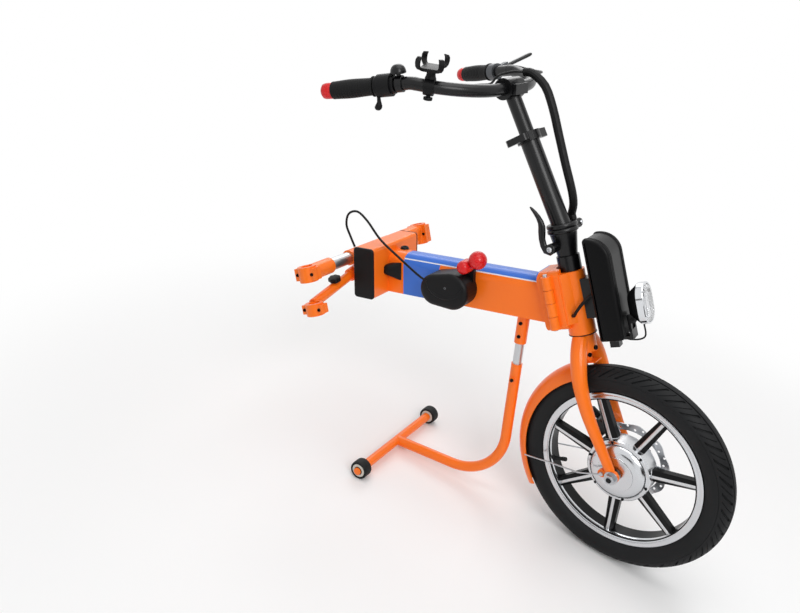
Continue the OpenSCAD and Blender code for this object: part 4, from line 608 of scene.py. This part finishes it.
# Cables. Steel wires in black PVC sleeves, and the loom that gathers them in front of the post; clipped
# to the bar, the post and the fork.
# Cable sleeve: black, with a soft sheen that handling has dulled in places.
cable_pvc, pvc_shader = finish("black_pvc_cable", "#080809", 0.0, 0.45, 1.53, 0.2)
pvc_place = add(cable_pvc, "ShaderNodeTexCoord", {}, {})
pvc_mark = add(cable_pvc, "ShaderNodeTexNoise", {"Scale": 1000 / 8, "Detail": 4.0}, {
    "Vector": pvc_place.outputs["Object"]})
pvc_gloss = add(cable_pvc, "ShaderNodeMapRange", {"To Min": 0.38, "To Max": 0.6}, {
    "Value": pvc_mark.outputs["Fac"]})
wire(cable_pvc, pvc_shader, {"Roughness": pvc_gloss.outputs[0]})
dress(cable_pvc, "brake_cable", "bar_cables", "cable_loom", "head_leads", "release_cable")

# Release lever. Hub, neck and ball moulded in one piece of solid glossy red on the lock's steel post;
# the bar plugs are of the same plastic.
# Glossy red plastic: saturated, with faint flow marks.
red_gloss, red_shader = finish("glossy_red_plastic", "#D41A1E", 0.0, 0.2, 1.5, 0.35)
red_place = add(red_gloss, "ShaderNodeTexCoord", {}, {})
red_flow = add(red_gloss, "ShaderNodeTexNoise", {"Scale": 1000 / 30, "Detail": 3.0}, {
    "Vector": red_place.outputs["Object"]})
red_tint = add(red_gloss, "ShaderNodeMix", {"data_type": "RGBA", 6: linear("#CB1519"), 7: linear("#DC2124")}, {
    0: red_flow.outputs["Fac"]})
wire(red_gloss, red_shader, {"Base Color": red_tint.outputs[2]})
dress(red_gloss, "release_lever", "bar_plugs")
RELEASE_X, RELEASE_Z = -320, 562.2
BALL_RADIUS = 17.5
BALL_REACH = 30
release_hub = ((0, 0), (12.4, 0), (13.2, 0.8), (13.2, 20), (12.6, 24), (10.8, 27.6), (8, 30.2), (4.2, 31.8),
               (0, 32.4))
release_neck = ((0, 2), (7.0, 2), (5.8, 9), (5.6, 12), (6.6, 13.8))
release_ball = tuple((BALL_RADIUS * sin(radians(a)), BALL_REACH - BALL_RADIUS * cos(radians(a)))
                     for a in range(28, 181, 8)) + ((0, BALL_REACH + BALL_RADIUS),)
bm = bmesh.new()
lathe(bm, parked @ shift(RELEASE_X, -40.4, RELEASE_Z) @ spin("X", 90), release_hub, 48)
lathe(bm, parked @ shift(RELEASE_X, -52.4, RELEASE_Z) @ spin("Y", 58), release_neck + release_ball, 48)
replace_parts(piece("red_lever_and_ball", bm, red_gloss, "release"), "release_lever")

# Bare tubes. The cross tube and the inner stand tube are drawn aluminium, cut to length and left uncoated;
# the dock's holder and the stand's socket grip them.
# Drawn aluminium: pale bright metal with fine uneven drawing lines.
drawn_alloy, alloy_shader = finish("drawn_aluminium_tube", "#C6C8CA", 1.0, 0.34)
alloy_place = add(drawn_alloy, "ShaderNodeTexCoord", {}, {})
alloy_lines = add(drawn_alloy, "ShaderNodeTexNoise", {"Scale": 1000 / 6, "Detail": 5.0, "Roughness": 0.65}, {
    "Vector": alloy_place.outputs["Object"]})
alloy_gloss = add(drawn_alloy, "ShaderNodeMapRange", {"To Min": 0.26, "To Max": 0.46}, {
    "Value": alloy_lines.outputs["Fac"]})
wire(drawn_alloy, alloy_shader, {"Roughness": alloy_gloss.outputs[0]})
dress(drawn_alloy, "cross_tube", "stand_inner_tube")

# Lever bracket. An aluminium die casting, bead blasted, clamped round the bar; the brake lever's pin sits in
# its slot.
# Bead-blasted casting: dull dark grey metal with a fine speckle.
grey_cast, cast_shader = finish("blasted_grey_casting", "#5A5C5F", 1.0, 0.45)
cast_place = add(grey_cast, "ShaderNodeTexCoord", {}, {})
cast_speck = add(grey_cast, "ShaderNodeTexNoise", {"Scale": 1000 / 1.5, "Detail": 2.0}, {
    "Vector": cast_place.outputs["Object"]})
cast_gloss = add(grey_cast, "ShaderNodeMapRange", {"To Min": 0.38, "To Max": 0.56}, {
    "Value": cast_speck.outputs["Fac"]})
wire(grey_cast, cast_shader, {"Roughness": cast_gloss.outputs[0]})
dress(grey_cast, "lever_bracket")

# Cells. Lithium cells stacked in rows and welded into one pack, which shrink film holds together inside the
# battery's shell.
# Shrink film: blue and glossy, with soft creases.
cell_film, cell_shader = finish("blue_shrink_film", "#2A55A8", 0.0, 0.25)
cell_place = add(cell_film, "ShaderNodeTexCoord", {}, {})
cell_crease = add(cell_film, "ShaderNodeTexNoise", {"Scale": 1000 / 12, "Detail": 3.0}, {
    "Vector": cell_place.outputs["Object"]})
cell_bump = add(cell_film, "ShaderNodeBump", {"Strength": 0.2, "Distance": 0.0005}, {
    "Height": cell_crease.outputs["Fac"]})
wire(cell_film, cell_shader, {"Normal": cell_bump.outputs[0]})
dress(cell_film, "battery_cells")

# Beam. A hollow welded box beam, orange, with a blue painted band along its top and a blue field on its
# sides at the dock end, parted by a fine white line.
BAND_MIDDLE, BAND_HALF = -328, 146.5
FIELD_MIDDLE, FIELD_HALF = -432, 42
BAND_FOOT = 548.5
LINE_HALF = 1
parked_back = parked.inverted()
# Two-colour beam paint: orange and blue under one gloss, with clean masked edges.
beam_coat, beam_shader = finish("orange_and_blue_beam_paint", "#FC7618", 0.0, 0.3, 1.5, 0.3)
beam_shader.inputs["Coat Weight"].default_value = 0.12
beam_shader.inputs["Coat Roughness"].default_value = 0.12
beam_place = add(beam_coat, "ShaderNodeTexCoord", {}, {})
beam_level = add(beam_coat, "ShaderNodeMapping", {
    "Location": parked_back.to_translation(), "Rotation": parked_back.to_euler()}, {
    "Vector": beam_place.outputs["Object"]})
beam_axes = add(beam_coat, "ShaderNodeSeparateXYZ", {}, {0: beam_level.outputs[0]})
beam_band = add(beam_coat, "ShaderNodeMath", {
    "operation": "COMPARE", 1: BAND_MIDDLE / 1000, 2: BAND_HALF / 1000}, {0: beam_axes.outputs["X"]})
beam_field = add(beam_coat, "ShaderNodeMath", {
    "operation": "COMPARE", 1: FIELD_MIDDLE / 1000, 2: FIELD_HALF / 1000}, {0: beam_axes.outputs["X"]})
beam_high = add(beam_coat, "ShaderNodeMath", {"operation": "GREATER_THAN", 1: BAND_FOOT / 1000}, {
    0: beam_axes.outputs["Z"]})
beam_top = add(beam_coat, "ShaderNodeMath", {"operation": "MULTIPLY"}, {
    0: beam_high.outputs[0], 1: beam_band.outputs[0]})
beam_blue = add(beam_coat, "ShaderNodeMath", {"operation": "MAXIMUM"}, {
    0: beam_top.outputs[0], 1: beam_field.outputs[0]})
beam_edge = add(beam_coat, "ShaderNodeMath", {
    "operation": "COMPARE", 1: (BAND_FOOT - LINE_HALF) / 1000, 2: LINE_HALF / 1000}, {
    0: beam_axes.outputs["Z"]})
beam_line = add(beam_coat, "ShaderNodeMath", {"operation": "MULTIPLY"}, {
    0: beam_edge.outputs[0], 1: beam_band.outputs[0]})
beam_cloud = add(beam_coat, "ShaderNodeTexNoise", {"Scale": 1000 / 90, "Detail": 3.0}, {
    "Vector": beam_place.outputs["Object"]})
beam_orange = add(beam_coat, "ShaderNodeMix", {
    "data_type": "RGBA", 6: linear("#FA7112"), 7: linear("#FF7C1C")}, {0: beam_cloud.outputs["Fac"]})
beam_tint = add(beam_coat, "ShaderNodeMix", {"data_type": "RGBA", 7: linear("#3B73D6")}, {
    0: beam_blue.outputs[0], 6: beam_orange.outputs[2]})
beam_tint = add(beam_coat, "ShaderNodeMix", {"data_type": "RGBA", 7: linear("#E8EAF0")}, {
    0: beam_line.outputs[0], 6: beam_tint.outputs[2]})
wire(beam_coat, beam_shader, {"Base Color": beam_tint.outputs[2]})
dress(beam_coat, "main_beam")

# Lock cover. An egg-shaped ABS case on the beam's right side, with a domed face, a curved flap and a small
# key plug; screwed to the beam.
LOCK_X, LOCK_Z = -357, 512.2


def egg(inset, y):
    ring = []
    for i in range(72):
        a = 2 * pi * i / 72
        x, z, r = max(((-20, -2, 31), (16, 0, 36)), key=lambda c: c[0] * cos(a) + c[1] * sin(a) + c[2])
        ring.append(parked @ mm(LOCK_X + x + (r - inset) * cos(a), y, LOCK_Z + z + (r - inset) * sin(a)))
    return ring


lock_dome = ((0.6, -64.5), (-0.3, -65.0), (-0.3, -69.0), (0.4, -71.0), (1.8, -73.2), (4.2, -75.2), (8.0, -76.6),
             (14.0, -77.6), (22.0, -78.2), (28.0, -78.4))
bm = bmesh.new()
loft(bm, [egg(inset, y) for inset, y in lock_dome], caps=True)
FLAP_X, FLAP_Z = -352, 533
FLAP_FROM, FLAP_SWEEP = 188, 164
FLAP_STEPS = 32
inward = Vector((0, 1, 0))
flap = []
for i in range(FLAP_STEPS + 1):
    turn = radians(FLAP_FROM + FLAP_SWEEP * i / FLAP_STEPS)
    swell = sin(pi * i / FLAP_STEPS)
    centre = Vector((FLAP_X + 40 * cos(turn), -76.4 - 1.4 * swell, FLAP_Z + 33 * sin(turn)))
    outward = Vector((cos(turn), 0, sin(turn)))
    width = 1.0 + 1.6 * swell
    flap.append([parked @ ((centre + width * (1.3 * cos(b) * outward + 0.9 * sin(b) * inward)) / 1000)
                 for b in (2 * pi * k / 12 for k in range(12))])
loft(bm, flap, caps=True)
piece("lock_cover_face", bm, black_abs, "frame")
key_plug = ((0, 0.2), (0.8, 0.2), (1.0, 0.7), (2.2, 0.7), (2.6, 0.3), (2.6, -1), (0, -1))
bm = bmesh.new()
lathe(bm, parked @ shift(-350, -78.0, 520) @ spin("X", 90), key_plug, 20)
piece("lock_key_barrel", bm, grey_cast, "frame")

# Dock mouldings. ABS end caps with a rounded edge close the dock box, bevelled corner pads sit between the
# box and the beam, and a grommet leads the wires through the beam's top.
DOCK_X, DOCK_Z = -534.5, 520.7
BEAM_SIDE = 29.8
BEAM_TOP = 556.2
PAD_Z = 520.2
cap_edge = rounded(((16.5, 45.5, 7, 0), (-16.5, 45.5, 7, 90), (-16.5, -45.5, 7, 180), (16.5, -45.5, 7, 270)), 6)
cap = ((4.0, 74.0), (3.1, 74.6), (3.1, 82.05), (-0.4, 82.05), (-0.4, 84.4), (0.2, 85.8), (1.4, 86.7),
       (3.2, 87.0), (3.8, 87.0))
pad_run = ((-511.0, 16.6, -8, 12), (-508.6, 17.0, -9, 13), (-500, 13.0, -13, 15.6), (-490, 8.0, -16.6, 17),
           (-482, 3.6, -18.8, 18), (-479.0, 2.2, -19, 18))
pad_edge = ((0, -1), (0.5, -0.98), (0.86, -0.84), (1, -0.6), (1, 0.6), (0.86, 0.84), (0.5, 0.98), (0, 1))
grommet = ((0, 1.0), (4.0, 1.0), (4.2, 4.6), (5.0, 5.2), (6.8, 5.0), (8.0, 3.8), (8.4, 1.6), (9.2, 0.6),
           (9.2, -0.6), (0, -0.6))
bm = bmesh.new()
for s in (-1, 1):
    loft(bm, [[parked @ mm(DOCK_X + x - inset * nx, s * y, DOCK_Z + z - inset * nz)
               for x, z, nx, nz in cap_edge] for inset, y in cap], caps=True)
    loft(bm, [[parked @ mm(x, s * (BEAM_SIDE + out * reach), PAD_Z + (low + high) / 2 + up * (high - low) / 2)
               for out, up in pad_edge] for x, reach, low, high in pad_run], caps=True)
lathe(bm, parked @ shift(-497, 12, BEAM_TOP), grommet, 28)
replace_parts(piece("dock_mouldings", bm, black_abs, "frame"), "dock_trim")

# Clamp screws and brace knob. Black socket screws pull each clamp shut, and a scalloped plastic knob
# locks the lower brace.
CROSS_X = -580
CLAMP_REACH, CLAMP_Z = 205, 544.2
CLAMP_LEAN = -11.5
BRACE_Z = 521.2
BRACE_SLOPE = 12.2
KNOB_REACH = 122
KNOB_LOBES = 7
for name, body, side, z in (("left_clamp_screws", "frame", 1, -8), ("right_clamp_screws", "right_arm", -1, 0),
                            ("brace_clamp_screws", "brace", -1, -70)):
    bm = bmesh.new()
    clamp = parked @ shift(CROSS_X, side * CLAMP_REACH, CLAMP_Z) @ spin("Y", CLAMP_LEAN)
    for x in (-18.1, 18.1):
        socket_screw(bm, clamp @ shift(x, -8.6, z) @ spin("X", 90), 3.2, 3.4)
    piece(name, bm, black_screw, body)
brace = parked @ shift(CROSS_X, 0, BRACE_Z) @ spin("Z", -90) @ spin("Y", BRACE_SLOPE)
knob = ((6.2, 0, 9.0), (7.4, 0, 9.4), (7.4, 0, 11.6), (11.6, 0.07, 12.4), (12.4, 0.07, 13.6),
        (12.4, 0.07, 19.0), (11.4, 0.06, 20.6), (8, 0.03, 21.2), (3, 0, 21.4))
knob_rings = []
for r, bite, h in knob:
    rounds = [(t, r * (1 + bite * cos(KNOB_LOBES * t))) for t in (2 * pi * i / 84 for i in range(84))]
    knob_rings.append([brace @ mm(KNOB_REACH + out * cos(t), out * sin(t), h) for t, out in rounds])
bm = bmesh.new()
loft(bm, knob_rings, caps=True)
piece("brace_knob", bm, black_abs, "brace")

# Stand fittings. Blackened steel screws hold the inner tube in its socket, and the rollers are black rubber
# moulded onto pale nylon hubs.
STAND_X, STAND_Z = -216.6, 472.2
STAND_LEAN = 5.1
ROLLER_BACK, ROLLER_SIDE, ROLLER_DROP = 258, 143, 392.5
stand = parked @ shift(STAND_X, 0, STAND_Z) @ spin("Y", STAND_LEAN)
bm = bmesh.new()
for z in (-18, -46):
    socket_screw(bm, stand @ shift(0, -11.6, z) @ spin("X", 90), 3.6, 2.6)
piece("stand_socket_screws", bm, black_screw, "frame")
# Nylon: milky pale grey, soft sheen, with faint mould flow.
nylon, nylon_shader = finish("pale_nylon", "#C9C6BC", 0.0, 0.42, 1.53)
nylon_place = add(nylon, "ShaderNodeTexCoord", {}, {})
nylon_flow = add(nylon, "ShaderNodeTexNoise", {"Scale": 1000 / 12, "Detail": 3.0}, {
    "Vector": nylon_place.outputs["Object"]})
nylon_tint = add(nylon, "ShaderNodeMix", {"data_type": "RGBA", 6: linear("#BFBCB2"), 7: linear("#D2CFC6")}, {
    0: nylon_flow.outputs["Fac"]})
wire(nylon, nylon_shader, {"Base Color": nylon_tint.outputs[2]})
roller_half = ((5.1, -12), (9, -12), (9.4, -10.6), (15.6, -10.6), (17, -11.6), (18.8, -11.4), (19.7, -10),
               (20, -8))
roller_tyre = roller_half + tuple((r, -h) for r, h in reversed(roller_half))
roller_hub = ((9.2, 10.2), (9.2, 11.4), (10, 11.9), (13.6, 11.7), (14.6, 11.2), (14.8, 10.2))
for name, side in (("roller_right", -1), ("roller_left", 1)):
    roller = stand @ shift(-ROLLER_BACK, side * ROLLER_SIDE, -ROLLER_DROP) @ spin("X", 90)
    bm = bmesh.new()
    lathe(bm, roller, roller_tyre, 48, True)
    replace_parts(piece(name + "_tyre", bm, tyre_rubber, name), name)
    bm = bmesh.new()
    for face in (0, 180):
        lathe(bm, roller @ spin("X", face), roller_hub, 40, True)
    piece(name + "_hub", bm, nylon, name)

# Grips. Soft moulded rubber sleeves with a flange at the hand's inner edge, a slight palm swell and a
# ribbed patch under the fingers, pushed onto the bar.
POST_KICK = 10.7
BAR_HEIGHT = 265
BAR_TILT = 26.7
BEND_RADIUS = 131
BEND_START = 34
BEND_SWEEP = 72
BEND_RISE = 10.5
TAIL_RADIUS = 60
TAIL_DROP = 15.7
GRIP_FROM, GRIP_STEPS = 63, 75
GRIP_SWELL, SWELL_LENGTH = 1.3, 84
RIB_FROM, RIB_TO, RIB_PITCH = 80, 130, 5
RIB_TURN = 0.6
bar = fork @ shift(0, 0, FOLD_HEIGHT) @ spin("Y", -POST_KICK) @ shift(0, 0, BAR_HEIGHT) @ spin("Y", BAR_TILT)


def bar_end(side):
    sweep, drop = radians(BEND_SWEEP), radians(TAIL_DROP)
    bend_back, bend_out = BEND_RADIUS * (1 - cos(sweep)), BEND_START + BEND_RADIUS * sin(sweep)
    swung = bar @ spin("Y", BEND_RISE) @ shift(-bend_back, side * bend_out, 0)
    tail = swung @ spin("Z", side * (90 + BEND_SWEEP))
    return tail @ shift(TAIL_RADIUS * sin(drop), 0, -TAIL_RADIUS * (1 - cos(drop))) @ spin("Y", TAIL_DROP)


def ribbed(r, bite, turn, side):
    return r - bite * max(0, cos(turn - side * RIB_TURN)) ** 0.5


# Grip rubber: black, soft and matt, with a fine grain.
grip_rubber, grip_shader = finish("soft_grip_rubber", "#0A0A0B", 0.0, 0.58, 1.52, 0.2)
grip_place = add(grip_rubber, "ShaderNodeTexCoord", {}, {})
grip_grain = add(grip_rubber, "ShaderNodeTexNoise", {"Scale": 1000 / 1.1, "Detail": 2.0}, {
    "Vector": grip_place.outputs["Object"]})
grip_bump = add(grip_rubber, "ShaderNodeBump", {"Strength": 0.2, "Distance": 0.0002}, {
    "Height": grip_grain.outputs["Fac"]})
wire(grip_rubber, grip_shader, {"Normal": grip_bump.outputs[0]})
bm = bmesh.new()
for side in (-1, 1):
    grip_rings = []
    for x, r in ((58.2, 12.0), (58.2, 16.6), (58.8, 17.4), (61.0, 17.4), (61.8, 16.6), (62.2, 15.2)):
        grip_rings.append((x, r, 0))
    for i in range(GRIP_STEPS):
        x = GRIP_FROM + i
        r = 15.0 + GRIP_SWELL * sin(pi * i / SWELL_LENGTH) ** 2
        bite = 0.8 * max(0, sin(2 * pi * (x - RIB_FROM) / RIB_PITCH)) if RIB_FROM < x < RIB_TO else 0
        grip_rings.append((x, r, bite))
    for x, r in ((138.4, 15.4), (140.0, 15.0), (140.8, 14.2), (140.8, 12.0)):
        grip_rings.append((x, r, 0))
    loft(bm, [[bar_end(side) @ mm(x, ribbed(r, bite, t, side) * cos(t), ribbed(r, bite, t, side) * sin(t))
               for t in (2 * pi * k / 48 for k in range(48))] for x, r, bite in grip_rings], caps=True)
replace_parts(piece("moulded_grips", bm, grip_rubber, "bar", 50), "grips")

# Bar plugs. Moulded plugs of glossy red plastic, each with a ring groove and a stepped round face, pushed
# into the bar's ends.
bar_plug = ((11.5, 141), (13.4, 141), (14.0, 142), (14.0, 147.4), (13.2, 148), (13.2, 148.8), (14, 149.4),
            (13.8, 155), (12.8, 158.4), (10.8, 160), (10, 160), (9.4, 161.2), (0, 161.8), (0, 150.2),
            (11.5, 150.2))
bm = bmesh.new()
for side in (-1, 1):
    lathe(bm, bar_end(side) @ spin("Y", 90), bar_plug, 48, True)
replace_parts(piece("ringed_bar_plugs", bm, red_gloss, "bar"), "bar_plugs")

# Thumb throttle. A ring of black ABS that turns on the bar beside its body, moulded in one with a neck and a
# rounded thumb pad below.
thumb_ring = ((11.6, 0.5), (15.8, 0.5), (16.8, 1.2), (17, 2.4), (17, 4.8), (16.4, 6), (15.6, 6.5), (11.6, 6.5))
thumb_pad = ((3.5, 14, 2.9, 6), (3.6, 20, 2.9, 4.6), (4.0, 26, 3.4, 4.8), (5.2, 30, 5.2, 6), (6.4, 34, 7, 6.8),
             (6.8, 37, 6.6, 6.4), (6.8, 39.6, 4.8, 4.8), (6.8, 41, 2, 2))
thumb = bar_end(-1) @ shift(51, 0, 0)
bm = bmesh.new()
lathe(bm, thumb @ spin("Y", 90), thumb_ring, 48, True)
loft(bm, [[thumb @ mm(x + half * cos(t), wide * sin(t), -drop) for t in (2 * pi * k / 24 for k in range(24))]
          for x, drop, half, wide in thumb_pad], caps=True)
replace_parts(piece("thumb_throttle_lever", bm, black_abs, "throttle"), "throttle_paddle")

# Bell. A round dome pressed from steel and coated black, on a short post; a clamp band of the same metal
# holds it to the bar.
bell_band = ((11.3, 5), (13.6, 5), (14.2, 5.6), (14.2, 16.4), (13.6, 17), (11.3, 17))
bell_dome = ((0, 13.2), (4, 13.2), (4, 16.4), (11.4, 16.4), (13.4, 17), (14, 18.2), (13.8, 21), (12.8, 25),
             (10.6, 28.8), (7.4, 31.4), (3.8, 32.6), (0, 33))
bm = bmesh.new()
lathe(bm, bar_end(-1) @ spin("Y", 90), bell_band, 40, True)
lathe(bm, bar_end(-1) @ shift(12, 0, 0), bell_dome, 40)
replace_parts(piece("bell_dome", bm, black_coat, "bar"), "bell")

# Brake lever. A forged aluminium blade with rounded edges that swells towards its tip, coated black and hung
# on a pin in the bracket.
LEVER_TURN = -22
lever_boss = ((0, -8), (2.6, -8), (3, -7.6), (3, -4), (6.4, -4), (7, -3.4), (7, 3.4), (6.4, 4), (3, 4),
              (3, 7.6), (2.6, 8), (0, 8))
lever_blade = ((0, 4, 6, 3.6), (-0.3, 18, 6.2, 3.8), (-2.4, 32, 6.2, 3.8), (-4.8, 46, 6.2, 3.8),
               (-6.6, 58, 6.4, 4), (-8, 66, 5.6, 3.8), (-8.8, 70, 4, 3), (-9, 72, 1.6, 1.4))
lever = bar_end(1) @ spin("X", LEVER_TURN) @ shift(42, -24, 0)
bm = bmesh.new()
lathe(bm, lever, lever_boss, 32)
loft(bm, [[lever @ mm(x + half * cos(t), -down, thick * sin(t)) for t in (2 * pi * k / 24 for k in range(24))]
          for x, down, half, thick in lever_blade], caps=True)
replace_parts(piece("brake_lever_blade", bm, black_coat, "brake_lever"), "brake_lever")

# Phone holder. A moulded clamp on the bar's right bend, with a neck, a rounded cradle plate and four
# curled claws, locked by a thumb screw underneath.
HOLDER_TURN = -61
holder_band = ((12.2, -9), (14.4, -9), (15.2, -8.2), (15.2, 8.2), (14.4, 9), (12.2, 9))
holder_neck = ((0, 13.4), (10, 13.4), (8.4, 17), (7.6, 21), (8.6, 25), (12, 27.6), (0, 27.6))
thumb_screw = ((0, 13), (4, 13), (4, 17), (7.4, 17.6), (8, 18.6), (8, 22), (7.2, 23), (0, 23.2))
cradle_edge = rounded(((21, 9, 8, 0), (-21, 9, 8, 90), (-21, -9, 8, 180), (21, -9, 8, 270)), 6)
cradle = ((2.0, 27.0), (0.6, 27.4), (0, 28.4), (0, 31.6), (0.6, 32.6), (2.0, 33.0))
claw_curve = ((-4, 30, 2.2, 4.6), (3, 30.2, 2.2, 4.6), (8, 31.6, 2.2, 4.8), (11.4, 35, 2.2, 5.0),
              (12.6, 40, 2.2, 5.2), (12.2, 45, 2.4, 5.2), (10, 48.6, 2.0, 4.8), (7.4, 49.6, 1.2, 4.2))
claw_edge = ((-1, -0.4), (-0.8, -1), (0.8, -1), (1, -0.4), (1, 0.4), (0.8, 1), (-0.8, 1), (-1, 0.4))
bend_middle = bar @ spin("Y", BEND_RISE) @ shift(-BEND_RADIUS, -BEND_START, 0)
holder = bend_middle @ spin("Z", HOLDER_TURN) @ shift(BEND_RADIUS, 0, 0)
bm = bmesh.new()
lathe(bm, holder @ spin("X", 90), holder_band, 40, True)
lathe(bm, holder, holder_neck, 32)
lathe(bm, holder @ spin("X", 180), thumb_screw, 24)
loft(bm, [[holder @ mm(x - inset * nx, y - inset * ny, z) for x, y, nx, ny in cradle_edge]
          for inset, z in cradle], caps=True)
for sx in (-1, 1):
    for sy in (-1, 1):
        out = Vector((0.78 * sx, 0.62 * sy, 0)).normalized()
        wide = Vector((-out.y, out.x, 0))
        claw = [(Vector((24 * sx, 12 * sy, w)) + u * out, thick, half) for u, w, thick, half in claw_curve]
        claw_rings = []
        for i, (at, thick, half) in enumerate(claw):
            along = (claw[min(i + 1, len(claw) - 1)][0] - claw[max(i - 1, 0)][0]).normalized()
            across = along.cross(wide)
            claw_rings.append([holder @ ((at + half * b * wide + thick * c * across) / 1000)
                               for b, c in claw_edge])
        loft(bm, claw_rings, caps=True)
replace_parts(piece("phone_cradle", bm, black_abs, "bar", 40), "phone_holder")
